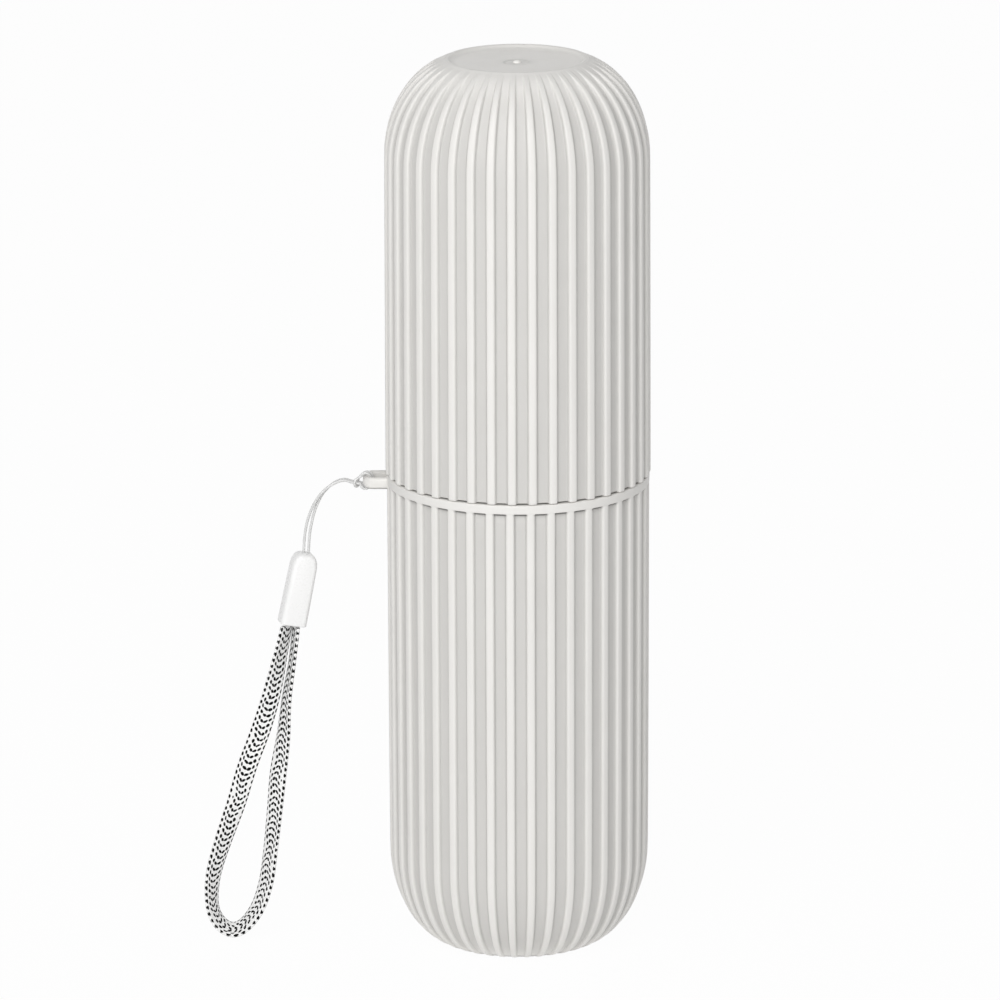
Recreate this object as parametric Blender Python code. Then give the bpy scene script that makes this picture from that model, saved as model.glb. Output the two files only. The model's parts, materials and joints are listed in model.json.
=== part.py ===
"""Ribbed two-piece toothbrush travel case with a brush divider and a wrist lanyard.

Metres, +Z up. The origin is on the case's axis, at the foot that it stands on, and the
front of the case faces -Y. The upper cup is pushed onto the neck of the lower cup, the
divider stands loose inside, and the lanyard hangs from an eyelet on the left of the seam.
"""

import math

import bmesh
import bpy
from mathutils import Matrix, Vector

MM = 0.001

# Clearances between pieces, and the overrun that lets one blank run into another
FIT_GAP = 0.3 * MM
CORD_GAP = 0.45 * MM
OVERRUN = 0.6 * MM

# The case's radius over its ribs, and the lower cup's step in from it
CASE_RADIUS = 30.25 * MM
LOWER_STEP = 0.3 * MM

# Ribs, alike on both cups
RIB_COUNT = 40
RIB_HEIGHT = 0.95 * MM
RIB_WIDTH = 2.1 * MM
RIB_FADE = 3.4 * MM
RIB_SECTION_SHARES = ((-1.0, 0.0), (-0.62, 0.8), (0.0, 1.0), (0.62, 0.8), (1.0, 0.0))
RIB_MOUTH_RISE = 0.4
SHOULDER_STEPS = 7
INNER_SHOULDER_STEPS = 5
RING_FACETS_PER_RIB = 3
SHARP_ANGLE = math.radians(32.0)

# Lower cup, up to the top face of its collar ring
LOWER_HEIGHT = 111.5 * MM
LOWER_RIB_TURN = math.radians(-4.2)
FOOT_FILLET_WIDTH = 14.5 * MM
FOOT_FILLET_HEIGHT = 23.5 * MM
LOWER_FLOOR = 2.0 * MM
INNER_FOOT_INSET = 0.45 * MM
RING_HEIGHT = 2.1 * MM
RING_PROUD = 0.05 * MM
RING_ROUND = 0.3 * MM

# Neck of the lower cup, which the upper cup slides over
NECK_HEIGHT = 12.0 * MM
NECK_WALL = 1.1 * MM
NECK_ROUND = 0.4 * MM
BEAD_HEIGHT_ON_NECK = 8.0 * MM
BEAD_WIDTH = 1.2 * MM
BEAD_PROUD = 0.12 * MM

# Upper cup, from its mouth to the lip round its dished top
UPPER_HEIGHT = 95.6 * MM
UPPER_RIB_TURN = math.radians(-2.9)
UPPER_WALL = 1.2 * MM
DRAFT = 0.25 * MM
RIB_END_ROUND = 0.6 * MM
SHOULDER_WIDTH = 17.2 * MM
SHOULDER_HEIGHT = 22.7 * MM
LIP_REACH = 3.6 * MM
LIP_WIDTH = 0.55 * MM
LIP_ROUND = 0.2 * MM
DISH_DEPTH = 1.35 * MM
DISH_DRAFT = 0.2 * MM
DISH_FLOOR = 1.5 * MM
CEILING_INSET = 1.9 * MM
GATE_DIMPLE_RADIUS = 3.0 * MM
GATE_DIMPLE_DEPTH = 0.2 * MM
GATE_PIP_RADIUS = 0.8 * MM
GATE_PIP_HEIGHT = 0.45 * MM
GATE_PIP_SHARES = ((1.0, 0.0), (0.8, 0.7), (0.4, 1.0))

# Divider: a wall for the tube of paste with one web that parts two brushes
DIVIDER_HEIGHT = 92.0 * MM
DIVIDER_WALL = 1.4 * MM
DIVIDER_WALL_X = 5.0 * MM
DIVIDER_GAP = 0.5 * MM
DIVIDER_ROUND = 5.0 * MM
DIVIDER_BASE = 1.2 * MM
DIVIDER_FACETS = 48
DIVIDER_CURVE_STEPS = 4

# Eyelet on the collar ring, a flat loop of rounded bar
EYELET_PROJECTION = 4.6 * MM
EYELET_HALF_WIDTH = 2.6 * MM
EYELET_CORNER = 1.7 * MM
EYELET_BAR_WIDTH = 1.6 * MM
EYELET_BAR_HEIGHT = 2.35 * MM
EYELET_BAR_ROUND = 0.5 * MM
EYELET_CORNER_STEPS = 5

# Lanyard string, a doubled nylon cord girth-hitched round the eyelet's outer bar
STRING_DIAMETER = 0.65 * MM
STRING_STEP = 1.0 * MM
HITCH_SPREAD = 0.72 * MM
HITCH_TURN = math.radians(140.0)
HITCH_STEPS = 10
BIGHT_REACH = 2.4 * MM
BIGHT_RISE = 0.6 * MM
BIGHT_CORNER_SHARES = (0.94, 0.7, 1.2)
STRING_BEVEL_RESOLUTION = 2
STRING_CURVE_STEPS = 8
NEIGHBOUR_DIAMETERS = 4.0

# Route of the doubled string from the hitch, from the eyelet's outer bar: x, y, z in mm
STRING_ROUTE = (
    (-2.4, 0.0, -0.75),
    (-3.6, 0.0, -0.35),
    (-5.3, -0.2, 0.15),
    (-7.6, -0.4, -0.7),
    (-10.0, -0.6, -2.8),
    (-11.8, -0.9, -5.8),
    (-12.9, -1.1, -9.0),
    (-13.6, -1.3, -12.6),
)

# Strap clip, a moulded block with round shoulders
CLIP_WIDTH = 6.4 * MM
CLIP_DEPTH = 5.0 * MM
CLIP_LENGTH = 17.0 * MM
CLIP_SHOULDER = 2.3 * MM
CLIP_SHOULDER_STEPS = 4
CLIP_EDGE_ROUND = 1.1 * MM
CLIP_EDGE_SEGMENTS = 2
CLIP_EDGE_ANGLE = math.radians(40.0)
CLIP_TOP_X = -13.95 * MM
CLIP_TOP_Y = -1.5 * MM
CLIP_TOP_Z = -16.8 * MM
CLIP_LEAN = math.radians(11.5)
CLIP_NOD = math.radians(3.0)
CLIP_YAW = math.radians(10.0)

# Wrist strap, a flat braid
STRAP_WIDTH = 4.4 * MM
STRAP_THICKNESS = 0.8 * MM
STRAP_EDGE = 0.25 * MM
STRAP_STEP = 4.0 * MM
STRAP_CURVE_STEPS = 12

# Route of the strap from the middle of the clip's lower face: x, y, z in mm, and the
# angle in degrees by which its inner edge turns away from the front
STRAP_ROUTE = (
    (-1.6, -0.3, -0.1, 48.0),
    (-3.2, -0.6, -7.4, 40.0),
    (-5.4, -0.8, -16.8, 26.0),
    (-7.8, -1.0, -24.7, 10.0),
    (-10.9, -1.2, -33.4, 8.0),
    (-13.5, -1.4, -42.3, 20.0),
    (-16.4, -1.5, -51.3, 34.0),
    (-18.6, -1.5, -59.1, 44.0),
    (-19.2, -1.5, -65.2, 54.0),
    (-18.6, -1.5, -69.4, 60.0),
    (-16.6, -1.5, -72.3, 62.0),
    (-14.0, -1.5, -73.2, 62.0),
    (-11.2, -1.4, -71.6, 58.0),
    (-8.4, -1.2, -67.4, 54.0),
    (-6.6, -1.0, -61.3, 52.0),
    (-5.6, -0.8, -53.5, 52.0),
    (-4.6, -0.6, -44.5, 48.0),
    (-3.8, -0.4, -35.7, 42.0),
    (-2.6, -0.2, -26.9, 50.0),
    (-1.2, 0.0, -17.5, 60.0),
    (0.5, 0.1, -9.1, 66.0),
    (1.7, 0.1, -0.1, 68.0),
)

# Derived sizes
CIRCLE = 2.0 * math.pi
QUARTER = 0.5 * math.pi
FRONT = -QUARTER
UPPER_RADIUS = CASE_RADIUS
LOWER_RADIUS = CASE_RADIUS - LOWER_STEP
RIB_PITCH = CIRCLE / RIB_COUNT
RIB_HALF_ANGLE = 0.5 * RIB_WIDTH / UPPER_RADIUS
UPPER_BORE = UPPER_RADIUS - RIB_HEIGHT - UPPER_WALL
NECK_RADIUS = UPPER_BORE - FIT_GAP
LOWER_BORE = NECK_RADIUS - NECK_WALL
FOOT_RADIUS = LOWER_RADIUS - FOOT_FILLET_WIDTH
INNER_FOOT_RADIUS = FOOT_RADIUS - INNER_FOOT_INSET
UPPER_SIDE_RADIUS = UPPER_RADIUS - DRAFT
SHOULDER_CENTRE_RADIUS = UPPER_SIDE_RADIUS - SHOULDER_WIDTH
LIP_RADIUS = SHOULDER_CENTRE_RADIUS + LIP_REACH
CEILING_RADIUS = LIP_RADIUS - CEILING_INSET
RING_RADIUS = LOWER_RADIUS + RING_PROUD
MOUTH_Z = LOWER_HEIGHT + FIT_GAP
EYELET_REACH = RING_RADIUS + EYELET_PROJECTION
EYELET_Z = LOWER_HEIGHT - RING_HEIGHT
DIVIDER_Z = LOWER_FLOOR + FIT_GAP
HITCH_RADIUS = math.hypot(0.5 * EYELET_BAR_WIDTH, 0.5 * EYELET_BAR_HEIGHT) + 0.5 * STRING_DIAMETER
STRING_SPREAD = 0.5 * (STRING_DIAMETER + CORD_GAP)

# Colours and roughnesses
OFF_WHITE = (0.80, 0.79, 0.765, 1.0)
CLEAR_WHITE = (0.86, 0.86, 0.85, 1.0)
CLIP_WHITE = (0.92, 0.92, 0.91, 1.0)
BRAID_GREY = (0.62, 0.62, 0.60, 1.0)
SATIN = 0.42
SLICK = 0.25
GLOSS = 0.3
FABRIC = 0.9


def clear_scene():
    """Remove every object that the opened file holds."""
    for item in list(bpy.data.objects):
        bpy.data.objects.remove(item, do_unlink=True)


def make_material(name, colour, roughness):
    """Return a plain plastic or fabric material."""
    material = bpy.data.materials.new(name)
    material.use_nodes = True
    shader = material.node_tree.nodes["Principled BSDF"]
    shader.inputs["Base Color"].default_value = colour
    shader.inputs["Roughness"].default_value = roughness
    shader.inputs["Metallic"].default_value = 0.0
    return material


def add_object(name, data, material, location=(0.0, 0.0, 0.0), parent=None):
    """Link an object that carries the given mesh or curve."""
    item = bpy.data.objects.new(name, data)
    bpy.context.collection.objects.link(item)
    data.materials.append(material)
    item.location = location
    item.parent = parent
    return item


def hide_guide(item):
    """Mark an object as a guide that is no piece of the case."""
    item.hide_render = True
    item.display_type = "WIRE"


def join_rows(mesh, first, second):
    """Bridge two rows of vertices, with quads or with one many-sided face for each rib."""
    groups = len(first) if len(first) == len(second) else RIB_COUNT
    step_a = len(first) // groups
    step_b = len(second) // groups
    for group in range(groups):
        row_a = [first[(group * step_a + i) % len(first)] for i in range(step_a + 1)]
        row_b = [second[(group * step_b + i) % len(second)] for i in range(step_b + 1)]
        mesh.faces.new(row_a + row_b[::-1])


def skin(name, loops):
    """Return a closed mesh through the loops, with a flat face over each end."""
    mesh = bmesh.new()
    rows = [[mesh.verts.new(point) for point in loop] for loop in loops]
    for first, second in zip(rows, rows[1:]):
        join_rows(mesh, first, second)
    mesh.faces.new(rows[0])
    mesh.faces.new(rows[-1])
    bmesh.ops.recalc_face_normals(mesh, faces=mesh.faces)
    data = bpy.data.meshes.new(name)
    mesh.to_mesh(data)
    mesh.free()
    data.shade_smooth()
    data.set_sharp_from_angle(angle=SHARP_ANGLE)
    return data


def on_circle(radius, height, angle):
    """Return the point at an angle round the case's axis."""
    return Vector((radius * math.cos(angle), radius * math.sin(angle), height))


def plain_loop(radius, height, turn, facets_per_rib=1):
    """Return a round loop whose facets line up with the ribs."""
    count = RIB_COUNT * facets_per_rib
    start = FRONT + turn - RIB_HALF_ANGLE
    return [on_circle(radius, height, start + CIRCLE * i / count) for i in range(count)]


def ribbed_loop(crest, valley, turn):
    """Return one loop over all ribs, given the radius and height of crest and valley."""
    points = []
    for rib in range(RIB_COUNT):
        centre = FRONT + turn + RIB_PITCH * rib
        for across, rise in RIB_SECTION_SHARES:
            radius = valley[0] + rise * (crest[0] - valley[0])
            height = valley[1] + rise * (crest[1] - valley[1])
            points.append(on_circle(radius, height, centre + across * RIB_HALF_ANGLE))
    return points


def smooth_step(value):
    """Ease from 0 to 1."""
    value = min(max(value, 0.0), 1.0)
    return value * value * (3.0 - 2.0 * value)


def shoulder_points(centre_radius, width, height, end_radius, steps):
    """Return radius, rise and the unit normal along an elliptical quarter from its side."""
    end_angle = math.acos(min(max((end_radius - centre_radius) / width, 0.0), 1.0))
    points = []
    for step in range(steps + 1):
        angle = end_angle * step / steps
        normal = Vector((math.cos(angle) / width, math.sin(angle) / height)).normalized()
        radius = centre_radius + width * math.cos(angle)
        points.append((radius, height * math.sin(angle), normal))
    return points


def ribbed_shoulder(centre_radius, width, height, end_radius, side_z, up, turn):
    """Return the ribbed loops from a cup's side wall to the end of its shoulder."""
    loops = []
    for radius, rise, normal in shoulder_points(centre_radius, width, height, end_radius, SHOULDER_STEPS):
        depth = RIB_HEIGHT * smooth_step((radius - end_radius) / RIB_FADE)
        crest = (radius, side_z + up * rise)
        valley = (radius - depth * normal[0], side_z + up * (rise - depth * normal[1]))
        loops.append(ribbed_loop(crest, valley, turn))
    return loops


def inner_shoulder(bore, end_radius, height, side_z, up, turn):
    """Return the plain loops from a cup's bore to its flat inner end."""
    width = bore - end_radius
    points = shoulder_points(end_radius, width, height, end_radius, INNER_SHOULDER_STEPS)
    return [plain_loop(radius, side_z + up * rise, turn) for radius, rise, _ in points]


def collar_loops():
    """Return the collar ring, its flat top and the neck that stands on it."""
    turn = LOWER_RIB_TURN
    ring = [
        (RING_RADIUS, LOWER_HEIGHT - RING_HEIGHT),
        (RING_RADIUS, LOWER_HEIGHT - RING_ROUND),
        (RING_RADIUS - RING_ROUND, LOWER_HEIGHT),
    ]
    neck_top = LOWER_HEIGHT + NECK_HEIGHT
    bead_z = LOWER_HEIGHT + BEAD_HEIGHT_ON_NECK
    neck = [
        (NECK_RADIUS, LOWER_HEIGHT),
        (NECK_RADIUS, bead_z - 0.5 * BEAD_WIDTH),
        (NECK_RADIUS + BEAD_PROUD, bead_z),
        (NECK_RADIUS, bead_z + 0.5 * BEAD_WIDTH),
        (NECK_RADIUS, neck_top - NECK_ROUND),
        (NECK_RADIUS - NECK_ROUND, neck_top),
        (LOWER_BORE, neck_top),
    ]
    loops = [plain_loop(radius, height, turn, RING_FACETS_PER_RIB) for radius, height in ring]
    return loops + [plain_loop(radius, height, turn) for radius, height in neck]


def build_lower_cup(material):
    """Make the ribbed lower cup with its collar ring, neck and eyelet."""
    turn = LOWER_RIB_TURN
    foot = ribbed_shoulder(
        FOOT_RADIUS, FOOT_FILLET_WIDTH, FOOT_FILLET_HEIGHT, FOOT_RADIUS, FOOT_FILLET_HEIGHT, -1.0, turn
    )
    ring_base = LOWER_HEIGHT - RING_HEIGHT
    side = [ribbed_loop((LOWER_RADIUS, ring_base), (LOWER_RADIUS - RIB_HEIGHT, ring_base), turn)]
    inside = inner_shoulder(
        LOWER_BORE - DRAFT,
        INNER_FOOT_RADIUS,
        FOOT_FILLET_HEIGHT - LOWER_FLOOR,
        FOOT_FILLET_HEIGHT,
        -1.0,
        turn,
    )
    cup = add_object("lower_cup", skin("lower_cup", foot[::-1] + side + collar_loops() + inside), material)
    eyelet = add_object("eyelet_blank", eyelet_mesh(), material)
    hide_guide(eyelet)
    union = cup.modifiers.new("eyelet", "BOOLEAN")
    union.operation = "UNION"
    union.solver = "EXACT"
    union.object = eyelet
    return cup


def dish_loops(top, turn):
    """Return the lip, the dished top and the mark that the moulding gate leaves there."""
    floor = top - DISH_DEPTH
    dimple = floor - GATE_DIMPLE_DEPTH
    dish_radius = LIP_RADIUS - LIP_WIDTH
    profile = [
        (LIP_RADIUS - LIP_ROUND, top),
        (dish_radius + LIP_ROUND, top),
        (dish_radius, top - LIP_ROUND),
        (dish_radius - DISH_DRAFT, floor),
        (GATE_DIMPLE_RADIUS, floor),
        (GATE_DIMPLE_RADIUS - GATE_DIMPLE_DEPTH, dimple),
    ]
    profile += [(out * GATE_PIP_RADIUS, dimple + rise * GATE_PIP_HEIGHT) for out, rise in GATE_PIP_SHARES]
    return [plain_loop(radius, height, turn) for radius, height in profile]


def build_upper_cup(material):
    """Make the ribbed upper cup, which is the case's cap and a rinsing cup."""
    turn = UPPER_RIB_TURN
    lip_angle = math.acos(LIP_REACH / SHOULDER_WIDTH)
    side_z = UPPER_HEIGHT - LIP_ROUND - SHOULDER_HEIGHT * math.sin(lip_angle)
    valley_radius = UPPER_RADIUS - RIB_HEIGHT
    mouth = [
        ribbed_loop((valley_radius + RIB_MOUTH_RISE * RIB_HEIGHT, 0.0), (valley_radius, 0.0), turn),
        ribbed_loop((UPPER_RADIUS, RIB_END_ROUND), (valley_radius, RIB_END_ROUND), turn),
    ]
    shoulder = ribbed_shoulder(
        SHOULDER_CENTRE_RADIUS, SHOULDER_WIDTH, SHOULDER_HEIGHT, LIP_RADIUS, side_z, 1.0, turn
    )
    ceiling = UPPER_HEIGHT - DISH_DEPTH - DISH_FLOOR
    inside = inner_shoulder(UPPER_BORE - DRAFT, CEILING_RADIUS, ceiling - side_z, side_z, 1.0, turn)
    bore = [plain_loop(UPPER_BORE, 0.0, turn)]
    loops = inside[::-1] + bore + mouth + shoulder + dish_loops(UPPER_HEIGHT, turn)
    return add_object("upper_cup", skin("upper_cup", loops), material, (0.0, 0.0, MOUTH_Z))


def divider_reach(height):
    """Return the divider's radius at a height above the cup's floor."""
    bore = LOWER_BORE - DRAFT - DIVIDER_GAP
    bottom = INNER_FOOT_RADIUS - DIVIDER_GAP
    curve_height = FOOT_FILLET_HEIGHT - LOWER_FLOOR
    reach = bore
    if height < curve_height:
        drop = (curve_height - height) / curve_height
        reach = bottom + (bore - bottom) * math.sqrt(max(1.0 - drop * drop, 0.0))
    below_top = DIVIDER_HEIGHT - height
    if below_top < DIVIDER_ROUND:
        drop = DIVIDER_ROUND - below_top
        reach -= DIVIDER_ROUND - math.sqrt(max(DIVIDER_ROUND * DIVIDER_ROUND - drop * drop, 0.0))
    return reach


def divider_outline(height):
    """Return the T-shaped outline of the divider's walls at one height."""
    reach = divider_reach(height)
    half = 0.5 * DIVIDER_WALL
    back = DIVIDER_WALL_X - half
    front = DIVIDER_WALL_X + half
    back_y = math.sqrt(reach * reach - front * front)
    plan = (
        (back, -back_y),
        (front, -back_y),
        (front, -half),
        (math.sqrt(reach * reach - half * half), -half),
        (math.sqrt(reach * reach - half * half), half),
        (front, half),
        (front, back_y),
        (back, back_y),
    )
    return [Vector((x, y, height)) for x, y in plan]


def build_divider(material):
    """Make the loose insert that parts a tube of paste from two brushes."""
    curve_height = FOOT_FILLET_HEIGHT - LOWER_FLOOR
    turns = [QUARTER * i / DIVIDER_CURVE_STEPS for i in range(DIVIDER_CURVE_STEPS + 1)]
    lower = [0.5 * DIVIDER_BASE] + [curve_height * (1.0 - math.cos(turn)) for turn in turns[1:]]
    upper = [DIVIDER_HEIGHT - DIVIDER_ROUND * (1.0 - math.sin(turn)) for turn in turns]
    walls = skin("brush_divider", [divider_outline(height) for height in lower + upper])
    divider = add_object("brush_divider", walls, material, (0.0, 0.0, DIVIDER_Z))
    edge = divider_reach(0.0)
    base_loops = [
        [on_circle(edge, height, CIRCLE * i / DIVIDER_FACETS) for i in range(DIVIDER_FACETS)]
        for height in (0.0, DIVIDER_BASE)
    ]
    base = add_object("divider_base_blank", skin("divider_base_blank", base_loops), material)
    base.location = divider.location
    hide_guide(base)
    union = divider.modifiers.new("base", "BOOLEAN")
    union.operation = "UNION"
    union.solver = "EXACT"
    union.object = base
    return divider


def chamfered_section(width, height, corner):
    """Return a rectangle with cut corners, as offsets across and up."""
    x = 0.5 * width
    y = 0.5 * height
    return [
        (x, -y + corner),
        (x, y - corner),
        (x - corner, y),
        (-x + corner, y),
        (-x, y - corner),
        (-x, -y + corner),
        (-x + corner, -y),
        (x - corner, -y),
    ]


def eyelet_path():
    """Return the centre line of the eyelet's bar, from wall to wall, with each tangent."""
    corner_x = -EYELET_REACH + EYELET_CORNER
    corner_y = EYELET_HALF_WIDTH - EYELET_CORNER
    root_x = -(LOWER_RADIUS - RIB_HEIGHT - OVERRUN)
    path = [(Vector((root_x, EYELET_HALF_WIDTH, EYELET_Z)), Vector((-1.0, 0.0, 0.0)))]
    for side in (1.0, -1.0):
        for step in range(EYELET_CORNER_STEPS + 1):
            share = step / EYELET_CORNER_STEPS
            angle = QUARTER * (share if side > 0.0 else 1.0 - share)
            x = corner_x - EYELET_CORNER * math.sin(angle)
            y = side * (corner_y + EYELET_CORNER * math.cos(angle))
            tangent = Vector((-side * math.cos(angle), -math.sin(angle), 0.0))
            path.append((Vector((x, y, EYELET_Z)), tangent))
    path.append((Vector((root_x, -EYELET_HALF_WIDTH, EYELET_Z)), Vector((1.0, 0.0, 0.0))))
    return path


def eyelet_mesh():
    """Return the eyelet's bar, whose two ends run into the cup's wall."""
    section = chamfered_section(EYELET_BAR_WIDTH, EYELET_BAR_HEIGHT, EYELET_BAR_ROUND)
    loops = []
    for point, tangent in eyelet_path():
        across = tangent.cross(Vector((0.0, 0.0, 1.0)))
        loops.append([point + x * across + Vector((0.0, 0.0, y)) for x, y in section])
    return skin("eyelet_blank", loops)


def catmull_rom(points, steps):
    """Return a smooth line through the points, with a few steps between neighbours."""
    padded = [2.0 * points[0] - points[1]] + points + [2.0 * points[-1] - points[-2]]
    line = []
    for a, b, c, d in zip(padded, padded[1:], padded[2:], padded[3:]):
        for step in range(steps):
            t = step / steps
            line.append(
                0.5
                * (
                    2.0 * b
                    + (c - a) * t
                    + (2.0 * a - 5.0 * b + 4.0 * c - d) * t * t
                    + (3.0 * b - a - 3.0 * c + d) * t * t * t
                )
            )
    line.append(points[-1])
    return line


def spaced(line, step):
    """Return points of a fine line at about equal steps, its ends kept."""
    lengths = [0.0]
    for a, b in zip(line, line[1:]):
        lengths.append(lengths[-1] + (b - a).length)
    count = max(round(lengths[-1] / step), 1)
    picked = []
    index = 0
    for i in range(count + 1):
        target = lengths[-1] * i / count
        while index < len(lengths) - 2 and lengths[index + 1] < target:
            index += 1
        span = lengths[index + 1] - lengths[index]
        picked.append(line[index].lerp(line[index + 1], (target - lengths[index]) / span))
    return picked


def hitch_half():
    """Return half of the girth hitch, from the string's end of it to the bight's middle."""
    points = []
    for step in range(HITCH_STEPS + 1):
        share = step / HITCH_STEPS
        angle = HITCH_TURN * (2.0 * share - 1.0)
        side = STRING_SPREAD + share * (HITCH_SPREAD - STRING_SPREAD)
        points.append(Vector((HITCH_RADIUS * math.cos(angle), side, HITCH_RADIUS * math.sin(angle))))
    back, out, rise = BIGHT_CORNER_SHARES
    points.append(Vector((-back * BIGHT_REACH, out * HITCH_SPREAD, rise * BIGHT_RISE)))
    points.append(Vector((-BIGHT_REACH, 0.0, BIGHT_RISE)))
    return points


def clip_frame():
    """Return the clip's placement in the lanyard's frame, with its origin at its top."""
    axis = Vector((math.sin(CLIP_LEAN), math.sin(CLIP_NOD), math.cos(CLIP_LEAN))).normalized()
    wide = Vector((math.cos(CLIP_YAW), math.sin(CLIP_YAW), 0.0))
    wide = (wide - wide.dot(axis) * axis).normalized()
    deep = axis.cross(wide)
    frame = Matrix((wide, deep, axis)).transposed().to_4x4()
    frame.translation = Vector((CLIP_TOP_X, CLIP_TOP_Y, CLIP_TOP_Z))
    return frame


def string_strand(side):
    """Return one strand of the doubled string, from the clip to the hitch."""
    frame = clip_frame()
    end = frame @ Vector((0.0, 0.0, FIT_GAP))
    route = [Vector(point) * MM for point in STRING_ROUTE] + [end]
    strand = []
    for index, point in enumerate(route):
        before = route[max(index - 1, 0)]
        after = route[min(index + 1, len(route) - 1)]
        normal = (after - before).normalized().cross(Vector((0.0, 1.0, 0.0)))
        turn = QUARTER * smooth_step((index - 2) / (len(route) - 3))
        offset = math.cos(turn) * Vector((0.0, 1.0, 0.0)) + math.sin(turn) * normal
        strand.append(point + side * STRING_SPREAD * offset)
    return strand[::-1]


def string_line():
    """Return the whole string's centre line in the lanyard's frame."""
    half = hitch_half()
    other = [Vector((point[0], -point[1], point[2])) for point in half[:-1]]
    route = string_strand(1.0) + half + other[::-1] + string_strand(-1.0)[::-1]
    return spaced(catmull_rom(route, STRING_CURVE_STEPS), STRING_STEP)


def least_gap(line, diameter):
    """Return the least gap between stretches of a cord that aren't neighbours."""
    gap = math.inf
    for i, first in enumerate(line):
        travelled = 0.0
        for j in range(i + 1, len(line)):
            travelled += (line[j] - line[j - 1]).length
            if travelled > NEIGHBOUR_DIAMETERS * diameter:
                gap = min(gap, (line[j] - first).length - diameter)
    return gap


def build_string(material, pivot):
    """Make the doubled string as one unbroken tube."""
    line = string_line()
    print("least gap of the string to itself, mm:", round(least_gap(line, STRING_DIAMETER) / MM, 2))
    curve = bpy.data.curves.new("lanyard_string", "CURVE")
    curve.dimensions = "3D"
    curve.bevel_depth = 0.5 * STRING_DIAMETER
    curve.bevel_resolution = STRING_BEVEL_RESOLUTION
    curve.render_resolution_u = 0
    curve.use_fill_caps = True
    spline = curve.splines.new("POLY")
    spline.points.add(len(line) - 1)
    for control, point in zip(spline.points, line):
        control.co = (*point, 1.0)
    return add_object("lanyard_string", curve, material, parent=pivot)


def build_clip(material, pivot):
    """Make the clip that joins the string to the strap."""
    half = 0.5 * CLIP_WIDTH
    outline = [(-half, -CLIP_LENGTH), (half, -CLIP_LENGTH)]
    for side in (1.0, -1.0):
        for step in range(CLIP_SHOULDER_STEPS + 1):
            share = step / CLIP_SHOULDER_STEPS
            angle = QUARTER * (share if side > 0.0 else 1.0 - share)
            x = side * (half - CLIP_SHOULDER + CLIP_SHOULDER * math.cos(angle))
            outline.append((x, CLIP_SHOULDER * (math.sin(angle) - 1.0)))
    depth = 0.5 * CLIP_DEPTH
    loops = [[Vector((x, y, z)) for x, z in outline] for y in (-depth, depth)]
    clip = add_object("strap_clip", skin("strap_clip", loops), material, parent=pivot)
    clip.matrix_local = clip_frame()
    bevel = clip.modifiers.new("edges", "BEVEL")
    bevel.width = CLIP_EDGE_ROUND
    bevel.segments = CLIP_EDGE_SEGMENTS
    bevel.limit_method = "ANGLE"
    bevel.angle_limit = CLIP_EDGE_ANGLE
    return clip


def strap_rings():
    """Return the strap's centre points and the direction across it at each of them."""
    frame = clip_frame()
    foot = frame @ Vector((0.0, 0.0, -CLIP_LENGTH - FIT_GAP))
    points = [Vector((x, y, z, turn)) for x, y, z, turn in STRAP_ROUTE]
    length = sum((b.xyz - a.xyz).length for a, b in zip(points, points[1:])) * MM
    fine = catmull_rom(points, STRAP_CURVE_STEPS)
    count = round(length / STRAP_STEP)
    picked = [fine[round(i * (len(fine) - 1) / count)] for i in range(count + 1)]
    rings = []
    for index, point in enumerate(picked):
        before = picked[max(index - 1, 0)]
        after = picked[min(index + 1, len(picked) - 1)]
        tangent = (after.xyz - before.xyz).normalized()
        inward = Vector((0.0, -1.0, 0.0)).cross(tangent).normalized()
        turn = math.radians(point[3])
        across = math.cos(turn) * inward + math.sin(turn) * Vector((0.0, 1.0, 0.0))
        across = (across - across.dot(tangent) * tangent).normalized()
        rings.append((foot + point.xyz * MM, across, tangent))
    return rings


def build_strap(material, pivot):
    """Make the flat wrist strap as one loop whose two ends meet the clip."""
    section = chamfered_section(STRAP_WIDTH, STRAP_THICKNESS, STRAP_EDGE)
    loops = []
    for point, across, tangent in strap_rings():
        normal = tangent.cross(across)
        loops.append([point + x * across + y * normal for x, y in section])
    return add_object("wrist_strap", skin("wrist_strap", loops), material, parent=pivot)


def build_lanyard(string_material, clip_material, strap_material):
    """Make the lanyard on an empty that lies on the eyelet's outer bar."""
    pivot = bpy.data.objects.new("lanyard_pivot", None)
    bpy.context.collection.objects.link(pivot)
    pivot.location = (-EYELET_REACH, 0.0, EYELET_Z)
    build_string(string_material, pivot)
    build_clip(clip_material, pivot)
    build_strap(strap_material, pivot)


def main():
    """Build the whole case."""
    clear_scene()
    shell = make_material("off_white_plastic", OFF_WHITE, SATIN)
    nylon = make_material("clear_nylon", CLEAR_WHITE, SLICK)
    gloss = make_material("white_plastic", CLIP_WHITE, GLOSS)
    braid = make_material("braid", BRAID_GREY, FABRIC)
    build_lower_cup(shell)
    build_upper_cup(shell)
    build_divider(shell)
    build_lanyard(nylon, gloss, braid)


main()
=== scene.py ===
"""Looks of the ribbed toothbrush travel case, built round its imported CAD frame.

Every size is in metres in the frame of the CAD part: +Z is up, the origin is on the axis at
the foot that the case stands on, and the front of the case faces -Y.
"""

from __future__ import annotations

import functools
import json
import logging
import math
from contextlib import contextmanager
from dataclasses import dataclass, field
from enum import Enum
from typing import Callable, Iterator, Sequence

import bmesh
import bpy
from bpy.types import ID, Material, Node, NodeSocket, NodeTree, Object
from mathutils import Matrix, Vector
from mathutils.kdtree import KDTree

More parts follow.
